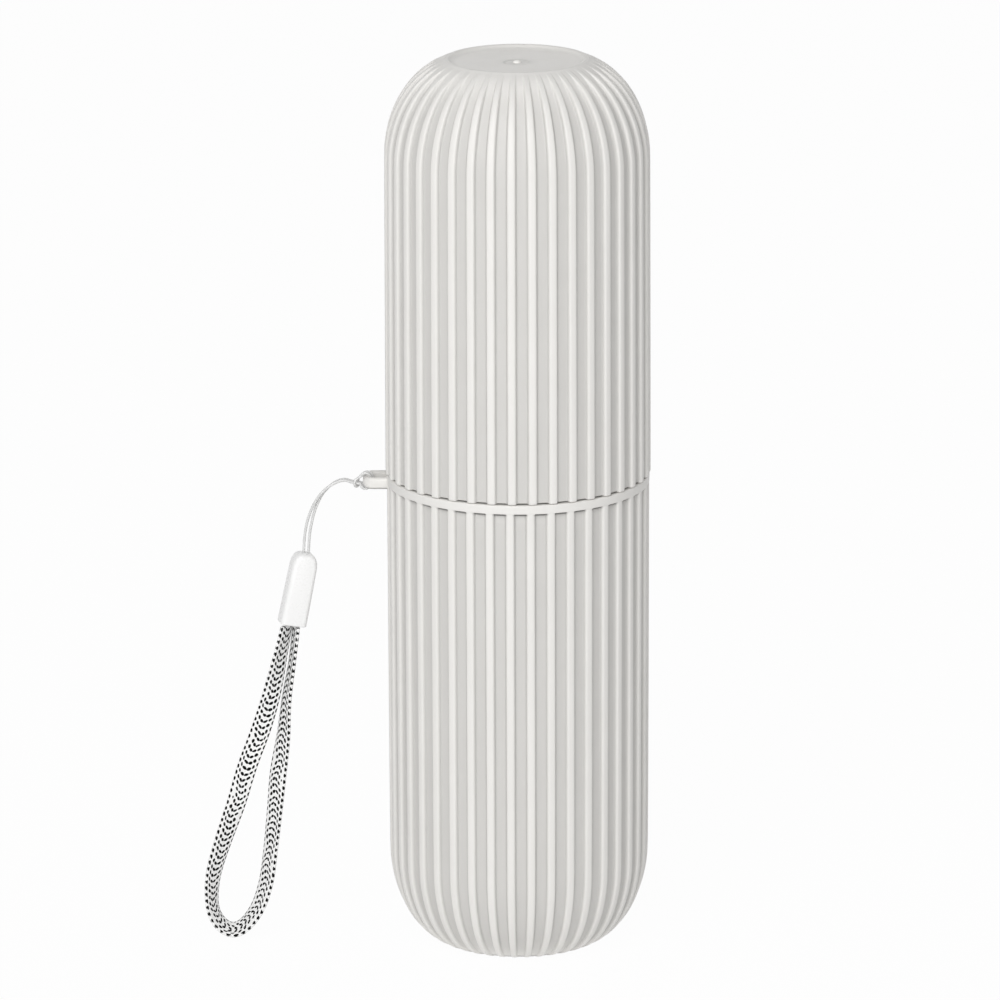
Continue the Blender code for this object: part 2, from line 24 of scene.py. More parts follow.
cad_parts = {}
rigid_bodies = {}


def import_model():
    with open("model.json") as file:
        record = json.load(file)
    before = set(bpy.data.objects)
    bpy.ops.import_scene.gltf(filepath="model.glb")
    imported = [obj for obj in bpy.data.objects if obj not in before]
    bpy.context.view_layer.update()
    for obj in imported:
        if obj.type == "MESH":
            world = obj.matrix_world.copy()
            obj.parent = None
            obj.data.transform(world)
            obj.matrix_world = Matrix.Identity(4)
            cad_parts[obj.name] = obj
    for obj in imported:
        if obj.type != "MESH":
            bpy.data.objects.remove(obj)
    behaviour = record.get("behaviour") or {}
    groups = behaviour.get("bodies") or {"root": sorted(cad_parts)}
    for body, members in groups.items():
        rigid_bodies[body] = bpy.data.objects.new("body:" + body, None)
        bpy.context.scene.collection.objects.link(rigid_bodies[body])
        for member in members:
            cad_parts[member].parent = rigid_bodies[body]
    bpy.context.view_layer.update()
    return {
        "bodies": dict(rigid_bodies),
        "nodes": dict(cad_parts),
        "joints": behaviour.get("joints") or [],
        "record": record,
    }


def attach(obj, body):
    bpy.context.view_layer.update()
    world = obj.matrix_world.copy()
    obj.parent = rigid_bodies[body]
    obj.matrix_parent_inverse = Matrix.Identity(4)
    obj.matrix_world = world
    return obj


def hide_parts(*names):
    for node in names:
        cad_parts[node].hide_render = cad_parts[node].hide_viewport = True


LOG = logging.getLogger("travel_case")

MM = 0.001
QUARTER = 0.5 * math.pi
CIRCLE = 2.0 * math.pi
FRONT = -QUARTER
BACK = Vector((0.0, 1.0, 0.0))
SPIN_AXIS = (0.0, 0.0, 1.0)
ORIGIN = (0.0, 0.0, 0.0)
# Name of the vertex attribute that holds the painted shade, or painted light where it is negative.
PAINTED_SHADE_NAME = "painted_shade"
INNER_STEPS = 8
FLAT_EDGE = 1.5 * MM
FLAT_MIDDLE = 3.0 * MM
RIB_ROOT = 0.1
WHITE = (1.0, 1.0, 1.0, 1.0)
Part = bmesh.types.BMVert | bmesh.types.BMEdge
Colour = tuple[float, float, float]
Place = tuple[float, float, float]


class Body(Enum):
    """The CAD bodies that pieces ride on."""

    LOWER_CASE = "lower_case"
    CAP = "cap"
    DIVIDER = "divider"
    LANYARD = "lanyard"


class Slot(Enum):
    """The record's material slots."""

    SHELL = "shell"
    DIVIDER = "divider"
    STRING = "string"
    CLIP = "clip"
    STRAP = "strap"


# ---- Hand tools ----


class Bench:
    """Edit mode's hand tools, by which every new mesh is shaped."""

    @staticmethod
    def take(piece: Object) -> None:
        """Select one object alone and make it the active one.

        Args:
            piece: The object to work on.
        """
        bpy.ops.object.select_all(action="DESELECT")
        piece.select_set(True)
        bpy.context.view_layer.objects.active = piece

    @staticmethod
    def named(name: str) -> Object:
        """Name the object that was just added, and return it."""
        bpy.context.object.name = bpy.context.object.data.name = name
        return bpy.context.object

    @staticmethod
    def add(name: str, data: ID) -> Object:
        """Add an object that shows some data.

        Args:
            name: The object's name.
            data: The mesh, curve, camera or lamp.

        Returns:
            The object, linked to the scene.
        """
        made = bpy.data.objects.new(name, data)
        bpy.context.scene.collection.objects.link(made)
        return made

    @staticmethod
    @contextmanager
    def editing(piece: Object, kind: str = "VERT") -> Iterator[None]:
        """Open a piece in edit mode.

        Args:
            piece: The object to open.
            kind: What is selectable, vertices or edges.
        """
        Bench.take(piece)
        bpy.ops.object.mode_set(mode="EDIT")
        bpy.ops.mesh.select_mode(type=kind)
        yield
        bpy.ops.object.mode_set(mode="OBJECT")

    @staticmethod
    def choose(test: Callable[[Part], bool], kind: str = "verts") -> None:
        """Select the parts of the open mesh that pass a test.

        Args:
            test: Says of one part whether it is selected.
            kind: What the parts are, verts or edges.
        """
        data = bpy.context.object.data
        mesh = bmesh.from_edit_mesh(data)
        for part in getattr(mesh, kind):
            part.select_set(False)
        for part in getattr(mesh, kind):
            if test(part):
                part.select_set(True)
        mesh.select_flush_mode()
        bmesh.update_edit_mesh(data, loop_triangles=False, destructive=False)

    @staticmethod
    def choose_all() -> None:
        """Select the whole open mesh."""
        bpy.ops.mesh.select_all(action="SELECT")

    @staticmethod
    def face_out() -> None:
        """Turn every face of the open mesh outwards."""
        Bench.choose_all()
        bpy.ops.mesh.normals_make_consistent(inside=False)

    @staticmethod
    def chosen() -> dict[int, Vector]:
        """Return the number and place of each selected vertex of the open mesh."""
        mesh = bmesh.from_edit_mesh(bpy.context.object.data)
        return {vert.index: vert.co.copy() for vert in mesh.verts if vert.select}

    @staticmethod
    def settle(piece: Object) -> None:
        """Put a piece's place, turn and scale into its mesh."""
        Bench.take(piece)
        bpy.ops.object.transform_apply(location=True, rotation=True, scale=True)

    @staticmethod
    def apply(piece: Object, kind: str, **settings: object) -> None:
        """Add one modifier to a piece and apply it.

        Args:
            piece: The object that gets the modifier.
            kind: Blender's name of the modifier's type.
            **settings: The modifier's values.
        """
        Bench.take(piece)
        modifier = piece.modifiers.new(kind.lower(), kind)
        for name, value in settings.items():
            setattr(modifier, name, value)
        bpy.ops.object.modifier_apply(modifier=modifier.name)

    @staticmethod
    def smooth(piece: Object, degrees: float) -> None:
        """Shade a piece smooth up to an angle between faces."""
        Bench.take(piece)
        bpy.ops.object.shade_smooth_by_angle(angle=math.radians(degrees))

    @staticmethod
    def dress(piece: Object, material: Material) -> None:
        """Give a piece one material, which replaces any other."""
        piece.data.materials.clear()
        piece.data.materials.append(material)

    @staticmethod
    def write_painted_shade(piece: Object, value: Callable[[Vector], float]) -> None:
        """Write on each vertex how much painted shade darkens the piece's plastic there.

        Args:
            piece: The piece, finished or still one rib wide.
            value: Gives the painted shade at a place.
        """
        layer = piece.data.attributes.new(PAINTED_SHADE_NAME, "FLOAT", "POINT")
        for vert in piece.data.vertices:
            layer.data[vert.index].value = value(vert.co)


class Curves:
    """Smooth lines through given points."""

    @staticmethod
    def through(points: Sequence[Vector], steps: int) -> list[Vector]:
        """Return a smooth line through points.

        Args:
            points: The points, in order.
            steps: How many steps lie between neighbours.

        Returns:
            The line's points.
        """
        padded = [2.0 * points[0] - points[1], *points, 2.0 * points[-1] - points[-2]]
        line = []
        for a, b, c, d in zip(padded, padded[1:], padded[2:], padded[3:]):
            for step in range(steps):
                t = step / steps
                bend = (2.0 * a - 5.0 * b + 4.0 * c - d) * t * t
                twist = (3.0 * b - a - 3.0 * c + d) * t * t * t
                line.append(0.5 * (2.0 * b + (c - a) * t + bend + twist))
        line.append(points[-1])
        return line

    @staticmethod
    def spaced(line: Sequence[Vector], step: float) -> list[Vector]:
        """Return points of a line at about equal steps.

        Args:
            line: A fine line, of points that may have more than three numbers.
            step: The step along it, measured on the first three numbers.

        Returns:
            The picked points, both ends kept.
        """
        lengths = [0.0]
        for a, b in zip(line, line[1:]):
            lengths.append(lengths[-1] + (b.xyz - a.xyz).length)
        count = max(round(lengths[-1] / step), 1)
        picked, index = [], 0
        for number in range(count + 1):
            target = lengths[-1] * number / count
            while index < len(lengths) - 2 and lengths[index + 1] < target:
                index += 1
            share = (target - lengths[index]) / (lengths[index + 1] - lengths[index])
            picked.append(line[index].lerp(line[index + 1], share))
        return picked

    @staticmethod
    def length(line: Sequence[Vector]) -> float:
        """Return the length of a line through points."""
        return sum((b - a).length for a, b in zip(line, line[1:]))


def smooth_step(value: float) -> float:
    """Ease from 0 to 1."""
    value = min(max(value, 0.0), 1.0)
    return value * value * (3.0 - 2.0 * value)


# ---- Finishes ----


class NodeBench:
    """A node tree, built one node at a time."""

    def __init__(self, tree: NodeTree) -> None:
        """Start on a tree."""
        self.tree = tree

    def node(self, kind: str, **settings: object) -> Node:
        """Add a node.

        Args:
            kind: Blender's type name after ShaderNode.
            **settings: The node's own settings.

        Returns:
            The new node.
        """
        made = self.tree.nodes.new("ShaderNode" + kind)
        for name, value in settings.items():
            setattr(made, name, value)
        return made

    def join(self, source: NodeSocket, target: NodeSocket) -> None:
        """Link one socket to another."""
        self.tree.links.new(source, target)

    def math(self, operation: str, *values: float | NodeSocket) -> NodeSocket:
        """Add a Math node.

        Args:
            operation: What it does.
            *values: Numbers, or sockets that give them.

        Returns:
            The node's result.
        """
        made = self.node("Math", operation=operation)
        for slot, value in zip(made.inputs, values):
            if isinstance(value, (int, float)):
                slot.default_value = value
            else:
                self.join(value, slot)
        return made.outputs[0]

    def sum(self, first: NodeSocket, factor: float, second: float | NodeSocket) -> NodeSocket:
        """Return the first times a factor, plus the second."""
        return self.math("MULTIPLY_ADD", first, factor, second)

    def shown_ray(self) -> NodeSocket:
        """Return 1 for a ray of the camera, a gloss or a glass, and 0 for one of light."""
        path = self.node("LightPath").outputs
        gloss = self.math("MAXIMUM", path["Is Camera Ray"], path["Is Glossy Ray"])
        return self.math("MAXIMUM", gloss, path["Is Transmission Ray"])


class Shade(NodeBench):
    """A material's node tree."""

    def __init__(self, name: str) -> None:
        """Start a material of that name with one Principled shader."""
        self.material = bpy.data.materials.new(name)
        self.material.use_nodes = True
        super().__init__(self.material.node_tree)
        self.shader = self.tree.nodes["Principled BSDF"]
        self.inputs = self.shader.inputs

    def ramp(
        self, source: NodeSocket, low: float, high: float, start: float = 0.0, end: float = 1.0
    ) -> NodeSocket:
        """Map a range onto another with a smooth step.

        Args:
            source: The value to map.
            low: Where the range starts.
            high: Where it ends.
            start: The result at its start.
            end: The result at its end.

        Returns:
            The mapped value.
        """
        made = self.node("MapRange", interpolation_type="SMOOTHSTEP")
        for slot, value in zip(list(made.inputs)[1:5], (low, high, start, end)):
            slot.default_value = value
        self.join(source, made.inputs[0])
        return made.outputs[0]

    def place(self, scale: Sequence[float] = (1.0, 1.0, 1.0)) -> NodeSocket:
        """Return the piece's Object coordinates, stretched.

        Args:
            scale: The stretch along each axis.

        Returns:
            The coordinates.
        """
        mapping = self.node("Mapping")
        mapping.inputs["Scale"].default_value = scale
        self.join(self.node("TexCoord").outputs["Object"], mapping.inputs["Vector"])
        return mapping.outputs["Vector"]

    def noise(self, where: NodeSocket, grain: float, detail: float) -> NodeSocket:
        """Add a noise.

        Args:
            where: The coordinates that it reads.
            grain: The size of its grain.
            detail: How many finer layers it has.

        Returns:
            Its value, from 0 to 1.
        """
        made = self.node("TexNoise")
        made.inputs["Scale"].default_value = 1.0 / grain
        made.inputs["Detail"].default_value = detail
        self.join(where, made.inputs["Vector"])
        return made.outputs["Fac"]

    def blend(
        self, share: NodeSocket, first: Colour | NodeSocket, second: Colour | NodeSocket
    ) -> NodeSocket:
        """Mix two colours.

        Args:
            share: How much of the second shows.
            first: The colour at 0, or a socket that gives it.
            second: The colour at 1, or a socket that gives it.

        Returns:
            The mixed colour.
        """
        made = self.node("Mix", data_type="RGBA")
        for slot, colour in zip(list(made.inputs)[6:8], (first, second)):
            if isinstance(colour, tuple):
                slot.default_value = (*colour, 1.0)
            else:
                self.join(colour, slot)
        self.join(share, made.inputs[0])
        return made.outputs[2]

    def bump(self, height: NodeSocket, depth: float, strength: float) -> None:
        """Raise the surface by a height.

        Args:
            height: The height, from 0 to 1.
            depth: The distance that 1 stands for.
            strength: How much of it shows.
        """
        made = self.node("Bump")
        made.inputs["Strength"].default_value = strength
        made.inputs["Distance"].default_value = depth
        self.join(height, made.inputs["Height"])
        self.join(made.outputs["Normal"], self.inputs["Normal"])


@dataclass(frozen=True)
class MouldedPlastic:
    """Moulded plastic with a faint cloud in its colour and a fine grain on its skin, its colour darkened
    by a painted shade read from each vertex.
    """

    name: str
    colour: Colour
    cloud: Colour
    roughness: tuple[float, float]
    specular: float = 0.5
    grain: float = 0.35 * MM
    grain_depth: float = 0.012 * MM
    painted_shade_tone: float = 1.0
    cloud_size: float = 9.0 * MM
    flow_size: float = 1.6 * MM
    flow_stretch: Place = (1.0, 1.0, 0.06)
    flow_share: float = 0.45

    def make(self) -> Material:
        """Return the material."""
        shade = Shade(self.name)
        cloud = shade.noise(shade.place(), self.cloud_size, 3.0)
        flow = shade.noise(shade.place(self.flow_stretch), self.flow_size, 2.0)
        tone = shade.sum(flow, self.flow_share, shade.math("MULTIPLY", cloud, 1.0 - self.flow_share))
        skin = shade.blend(shade.ramp(tone, 0.3, 0.7), self.colour, self.cloud)
        # Painted shade: the colour is scaled by the tone to the power of the vertex's painted shade, so
        # it is darker in rib valleys, grooves and under parts, and lighter where the value is negative.
        painted_shade = shade.node("Attribute", attribute_name=PAINTED_SHADE_NAME)
        painted_darkening = shade.node("VectorMath", operation="SCALE")
        shade.join(skin, painted_darkening.inputs[0])
        shade.join(shade.math("POWER", self.painted_shade_tone, painted_shade.outputs["Fac"]), painted_darkening.inputs["Scale"])
        shade.join(painted_darkening.outputs[0], shade.inputs["Base Color"])
        fine = shade.noise(shade.place(), self.grain, 3.0)
        wear = shade.ramp(shade.sum(cloud, 0.4, fine), 0.4, 1.0, *self.roughness)
        shade.join(wear, shade.inputs["Roughness"])
        shade.inputs["Specular IOR Level"].default_value = self.specular
        shade.bump(fine, self.grain_depth, 0.5)
        return shade.material


@dataclass(frozen=True)
class NylonCord:
    """Clear drawn nylon, milky inside and smooth outside."""

    name: str = "clear_drawn_nylon"
    colour: Colour = (0.84, 0.84, 0.835)
    vein: Colour = (0.70, 0.70, 0.695)
    vein_size: float = 1.6 * MM
    vein_depth: float = 0.005 * MM
    roughness: tuple[float, float] = (0.12, 0.192)
    bending: float = 1.53
    transmission: float = 0.08

    def make(self) -> Material:
        """Return the material."""
        shade = Shade(self.name)
        vein = shade.noise(shade.place(), self.vein_size, 2.0)
        shade.join(shade.blend(vein, self.colour, self.vein), shade.inputs["Base Color"])
        shade.join(shade.ramp(vein, 0.3, 0.7, *self.roughness), shade.inputs["Roughness"])
        shade.inputs["IOR"].default_value = self.bending
        shade.inputs["Transmission Weight"].default_value = self.transmission
        shade.bump(vein, self.vein_depth, 0.4)
        return shade.material


@dataclass(frozen=True)
class DashRow:
    """One row of dark tracer yarn, mirrored about the strap's middle, in mm and degrees."""

    off_middle: float
    slant: float
    half_length: float
    half_width: float
    phase: float


@dataclass(frozen=True)
class Braid:
    """Flat white braid with rows of dark tracer dashes and painted shade between the yarns, drawn on the
    piece's own map in mm.
    """

    name: str = "flat_braid"
    white: Colour = (0.98, 0.98, 0.975)
    painted_shade_white: Colour = (0.95, 0.95, 0.945)
    dark: Colour = (0.002, 0.002, 0.002)
    specular: float = 0.10
    pitch: float = 1.5
    wander: float = 2.2
    wander_length: float = 5.0
    wander_ends: tuple[float, float] = (1.1, 1.9)
    stray: tuple[float, float] = (0.15, 0.45)
    stray_length: float = 0.9
    yarn_swell: float = 1.5
    yarn_repeats: float = 2.0
    fuzz_size: float = 0.12
    relief: float = 0.07 * MM
    rows: tuple[DashRow, ...] = (
        DashRow(0.42, -42.0, 0.53, 0.31, 0.0),
        DashRow(1.24, -22.0, 0.52, 0.31, 0.50),
        DashRow(2.08, -3.0, 0.50, 0.23, 0.05),
    )

    def dash(
        self,
        shade: Shade,
        place: tuple[NodeSocket, NodeSocket],
        row: DashRow,
        swell: float = 1.0,
        repeats: float = 1.0,
    ) -> NodeSocket:
        """Return how far a point is from the nearest dash of a row, 1 at the dash's edge.

        Args:
            shade: The material.
            place: The distances from the strap's middle and along the strap.
            row: The row of dashes.
            swell: How much larger than the dash the measured form is.
            repeats: How many forms lie in one pitch.

        Returns:
            The distance.
        """
        across, along = place
        step = self.pitch / repeats
        turns = shade.sum(along, 1.0 / step, row.phase * repeats)
        local = shade.math("MULTIPLY", shade.math("SUBTRACT", shade.math("FRACT", turns), 0.5), step)
        aside = shade.math("SUBTRACT", across, row.off_middle)
        cos, sin = math.cos(math.radians(row.slant)), math.sin(math.radians(row.slant))
        x = shade.math("SUBTRACT", shade.math("MULTIPLY", aside, cos), shade.math("MULTIPLY", local, sin))
        y = shade.math("ADD", shade.math("MULTIPLY", aside, sin), shade.math("MULTIPLY", local, cos))
        squares = [
            shade.math("POWER", shade.math("ABSOLUTE", shade.math("DIVIDE", way, swell * half)), 2.0)
            for way, half in ((x, row.half_width), (y, row.half_length))
        ]
        return shade.math("SQRT", shade.math("ADD", *squares))

    def places(self, shade: Shade, own: NodeSocket) -> tuple[NodeSocket, NodeSocket]:
        """Return the distances from the strap's middle and along it, led astray by a noise.

        Args:
            shade: The material.
            own: The piece's own map.

        Returns:
            The two distances.
        """
        parts = shade.node("SeparateXYZ")
        shade.join(own, parts.inputs[0])
        stray = shade.math("SUBTRACT", shade.noise(own, self.stray_length, 1.0), 0.5)
        lean = shade.math("SUBTRACT", shade.noise(own, self.wander_length, 0.0), 0.5)
        inner = shade.ramp(shade.math("ABSOLUTE", parts.outputs[0]), *self.wander_ends, self.wander, 0.0)
        moved = shade.math("MULTIPLY_ADD", lean, inner, parts.outputs[0])
        across = shade.math("ABSOLUTE", shade.sum(stray, self.stray[0], moved))
        return across, shade.sum(stray, self.stray[1], parts.outputs[1])

    def make(self) -> Material:
        """Return the material."""
        shade = Shade(self.name)
        own = shade.node("UVMap", uv_map="braid").outputs["UV"]
        place = self.places(shade, own)
        inks, domes = [], []
        for row in self.rows:
            inks.append(shade.ramp(self.dash(shade, place, row), 0.88, 1.10, 1.0, 0.0))
            yarn = self.dash(shade, place, row, self.yarn_swell, self.yarn_repeats)
            domes.append(shade.ramp(yarn, 0.2, 1.2, 1.0, 0.0))
        ink, dome = (
            functools.reduce(lambda one, other: shade.math("MAXIMUM", one, other), masks)
            for masks in (inks, domes)
        )
        fuzz = shade.noise(own, self.fuzz_size, 2.0)
        # Painted shade: the white dims to the shaded white away from the yarn domes, between the yarns.
        yarns = shade.blend(ink, shade.blend(dome, self.painted_shade_white, self.white), self.dark)
        shade.join(yarns, shade.inputs["Base Color"])
        shade.join(shade.ramp(fuzz, 0.2, 0.8, 0.72, 0.95), shade.inputs["Roughness"])
        shade.inputs["Specular IOR Level"].default_value = self.specular
        shade.bump(shade.sum(fuzz, 0.25, dome), self.relief, 0.5)
        return shade.material


@dataclass(frozen=True)
class Finishes:
    """Every finish of the case."""

    # The shell's tone of 0.76 sets how dark the painted shade in its valleys, grooves and corners is.
    shell: MouldedPlastic = MouldedPlastic(
        "satin_shell", (0.850, 0.836, 0.808), (0.828, 0.814, 0.786), (0.38, 0.50), painted_shade_tone=0.76
    )
    divider: MouldedPlastic = MouldedPlastic(
        "satin_divider", (0.80, 0.79, 0.765), (0.77, 0.76, 0.735), (0.42, 0.56), 0.4
    )
    clip: MouldedPlastic = MouldedPlastic(
        "white_clip", (0.985, 0.985, 0.98), (0.97, 0.97, 0.965), (0.24, 0.34), 0.5, 0.5 * MM, 0.008 * MM
    )
    string: NylonCord = NylonCord()
    strap: Braid = Braid()


# ---- The ribbed shells ----


@dataclass(frozen=True)
class Station:
    """One ring of a shell: the radius and height of its crests and of its valleys, and the shade painted
    on it.
    """

    crest: tuple[float, float]
    valley: tuple[float, float]
    # Painted shading on this ring: a positive value darkens it as painted shade, a negative one lightens
    # it as painted light.
    painted_shading: float = 0.0
    # The share of the painted valley shade that this ring keeps.
    tone: float = 1.0

    @staticmethod
    def plain(radius: float, height: float, painted_shading: float = 0.0) -> Station:
        """Return a ring without ribs."""
        return Station((radius, height), (radius, height), painted_shading)

    @staticmethod
    def rings(*rows: Sequence[float]) -> list[Station]:
        """Return rings without ribs, from rows of radius, height and, where it has some, painted shade
        (negative for painted light).
        """
        return [Station.plain(*row) for row in rows]

    @staticmethod
    def inner_end(bore: float, end: float, side_z: float, flat_z: float) -> list[Station]:
        """Return the rings from a bore round to the middle of its flat end.

        Args:
            bore: The bore's radius.
            end: The radius where the rounding meets the flat.
            side_z: The height where the bore ends.
            flat_z: The height of the flat.

        Returns:
            The stations.
        """
        made = []
        for step in range(INNER_STEPS + 1):
            angle = QUARTER * step / INNER_STEPS
            rise = (flat_z - side_z) * math.sin(angle)
            made.append((end + (bore - end) * math.cos(angle), side_z + rise))
        return Station.rings(*made, (end - FLAT_EDGE, flat_z), (FLAT_MIDDLE, flat_z))

    def at(self, rise: float) -> tuple[float, float]:
        """Return the radius and height at a share of the rise from valley to crest."""
        return tuple(low + rise * (high - low) for low, high in zip(self.valley, self.crest))


@dataclass(frozen=True)
class QuarterCurve:
    """The ellipse that a shoulder or a foot follows, how the painted shade of its valleys fades along it,
    and the painted shadow under a foot.
    """

    centre: float
    width: float
    height: float
    end: float
    side_z: float
    painted_shade_fade: float
    painted_darkening: float = 0.0
    painted_shade_from: float = 0.0


@dataclass(frozen=True)
class RibSection:
    """The section of one rib and the half valleys beside it."""

    count: int = 40
    height: float = 0.95 * MM
    case_radius: float = 30.25 * MM
    # Painted shade at each rib's root, and how far the painted shadow under a foot reaches.
    corner_painted_shade: float = 0.45
    painted_shade_reach: float = 0.8 * MM
    half: tuple[tuple[float, float], ...] = (
        (0.0, 1.0),
        (0.62 * MM, 1.0),
        (0.94 * MM, 0.84),
        (1.10 * MM, 0.06),
        (1.42 * MM, 0.0),
    )

    @property
    def pitch(self) -> float:
        """The angle from one rib to the next."""
        return CIRCLE / self.count

    @property
    def columns(self) -> list[tuple[float, float]]:
        """The angle and rise of each column of the section, from side to side."""
        right = [(out / self.case_radius, rise) for out, rise in self.half] + [(0.5 * self.pitch, 0.0)]
        return [(-angle, rise) for angle, rise in right[:0:-1]] + right

    def shoulder(
        self, curve: QuarterCurve, faded: float, fade: float, up: float, steps: int
    ) -> list[Station]:
        """Return the ribbed stations of an elliptical quarter, from its side to its end.

        Args:
            curve: The quarter's ellipse and its end.
            faded: The radius where the ribs have faded out.
            fade: The distance over which they fade.
            up: 1 for a shoulder and -1 for a foot.
            steps: How many steps it has.

        Returns:
            The stations.
        """
        end_angle = math.acos(min(max((curve.end - curve.centre) / curve.width, 0.0), 1.0))
        made = []
        for step in range(steps + 1):
            angle = end_angle * step / steps
            normal = Vector((math.cos(angle) / curve.width, math.sin(angle) / curve.height)).normalized()
            radius = curve.centre + curve.width * math.cos(angle)
            rise = curve.height * math.sin(angle)
            depth = self.height * smooth_step((radius - faded) / fade)
            # Painted shadow: the foot darkens where it curves under towards the floor.
            under = smooth_step((curve.painted_shade_from - radius) / self.painted_shade_reach)
            made.append(
                Station(
                    (radius, curve.side_z + up * rise),
                    (radius - depth * normal[0], curve.side_z + up * (rise - depth * normal[1])),
                    curve.painted_darkening * under,
                    smooth_step((radius - faded) / curve.painted_shade_fade),
                )
            )
        return made


@dataclass
class RibbedShell:
    """A cup that is modelled as one rib, and copied round its axis."""

    name: str
    turn: float
    stations: list[Station]
    ribs: RibSection = field(default_factory=RibSection)
    weld: float = 0.001 * MM
    smooth_angle: float = 50.0

    def place_of(self, station: Station, angle: float, rise: float) -> Vector:
        """Return where a column stands at a station.

        Args:
            station: The station.
            angle: The column's angle from the rib's middle.
            rise: The column's rise from valley to crest.

        Returns:
            The place.
        """
        radius, height = station.at(rise)
        angle += FRONT + self.turn
        return Vector((radius * math.cos(angle), radius * math.sin(angle), height))

    def start(self) -> Object:
        """Cut one rib's arc from a circle and set its columns."""
        columns = self.ribs.columns
        spans = len(columns) - 1
        bpy.ops.mesh.primitive_circle_add(
            vertices=self.ribs.count * spans, radius=self.ribs.case_radius, fill_type="NOTHING"
        )
        piece = Bench.named(self.name)
        with Bench.editing(piece):
            Bench.choose(lambda vert: vert.index >= len(columns))
            bpy.ops.mesh.delete(type="VERT")
            for number, (angle, rise) in enumerate(columns):
                target = self.place_of(self.stations[0], angle, rise)
                Bench.choose(lambda vert: vert.index == number)
                bpy.ops.transform.translate(value=target - Bench.chosen()[number])
        return piece

    def rise_of(self, place: Vector) -> float:
        """Return the rise of the column that a point stands in."""
        angle = (math.atan2(place.y, place.x) - FRONT - self.turn + math.pi) % CIRCLE - math.pi
        return min(self.ribs.columns, key=lambda column: abs(column[0] - angle))[1]

    def draw_up(self, before: Station, after: Station) -> None:
        """Extrude the last ring to the next station, one rise at a time.

        Args:
            before: The station that the ring stands at.
            after: The station that it goes to.
        """
        bpy.ops.mesh.extrude_region_move(TRANSFORM_OT_translate={"value": ORIGIN})
        ring = {number: self.rise_of(place) for number, place in Bench.chosen().items()}
        for rise in sorted(set(ring.values())):
            Bench.choose(lambda vert: ring.get(vert.index) == rise)
            (old_radius, old_height), (radius, height) = before.at(rise), after.at(rise)
            scale = radius / old_radius
            bpy.ops.transform.resize(value=(scale, scale, 1.0), center_override=ORIGIN)
            bpy.ops.transform.translate(value=(0.0, 0.0, height - old_height))
        Bench.choose(lambda vert: vert.index in ring)

    def paint_rib_shade(self, piece: Object) -> None:
        """Write on each vertex a painted shade, darker the deeper it lies between the ribs, plus the
        ring's own painted shading.

        Args:
            piece: The drawn strip of one rib.
        """
        places, marks = [], []
        for station in self.stations:
            depth = (Vector(station.crest) - Vector(station.valley)).length / self.ribs.height
            plain = station.crest == station.valley
            for angle, rise in self.ribs.columns:
                # Painted shade: valleys darken with their depth, and the line at each rib's root is
                # painted darker still.
                corner = self.ribs.corner_painted_shade if 0.0 < rise < RIB_ROOT else 0.0
                painted_shade = min(depth, 1.0) * station.tone * (1.0 - rise + corner)
                places.append(self.place_of(station, angle, rise))
                marks.append(painted_shade + station.painted_shading * (1.0 if plain else 1.0 - rise))
        tree = KDTree(len(places))
        for number, place in enumerate(places):
            tree.insert(place, number)
        tree.balance()
        Bench.write_painted_shade(piece, lambda place: marks[tree.find(place)[1]])

    def build(self) -> Object:
        """Return the finished shell, closed and smooth."""
        piece = self.start()
        with Bench.editing(piece):
            Bench.choose_all()
            for before, after in zip(self.stations, self.stations[1:]):
                self.draw_up(before, after)
        self.paint_rib_shade(piece)
        bpy.ops.object.empty_add(rotation=(0.0, 0.0, self.ribs.pitch))
        pivot = bpy.context.object
        bpy.context.view_layer.update()
        around = {"use_relative_offset": False, "use_object_offset": True, "offset_object": pivot}
        Bench.apply(piece, "ARRAY", count=self.ribs.count, **around)
        bpy.data.objects.remove(pivot)
        with Bench.editing(piece):
            Bench.choose_all()
            bpy.ops.mesh.remove_doubles(threshold=self.weld)
        Bench.apply(piece, "SUBSURF", levels=1, render_levels=1)
        with Bench.editing(piece):
            Bench.choose_all()
            bpy.ops.mesh.fill_holes(sides=0)
            Bench.face_out()
        Bench.smooth(piece, self.smooth_angle)
        return piece


@dataclass(frozen=True)
class CaseSizes:
    """The sizes that both cups share."""

    lower_height: float = 111.5 * MM
    lower_radius: float = 29.95 * MM
    upper_radius: float = 30.25 * MM
    upper_height: float = 95.6 * MM
    seam_gap: float = 0.3 * MM
    upper_bore: float = 28.1 * MM
    neck_radius: float = 27.8 * MM
    lower_bore: float = 26.7 * MM
    draft: float = 0.25 * MM

    @property
    def mouth_z(self) -> float:
        """The height of the cap's mouth."""
        return self.lower_height + self.seam_gap


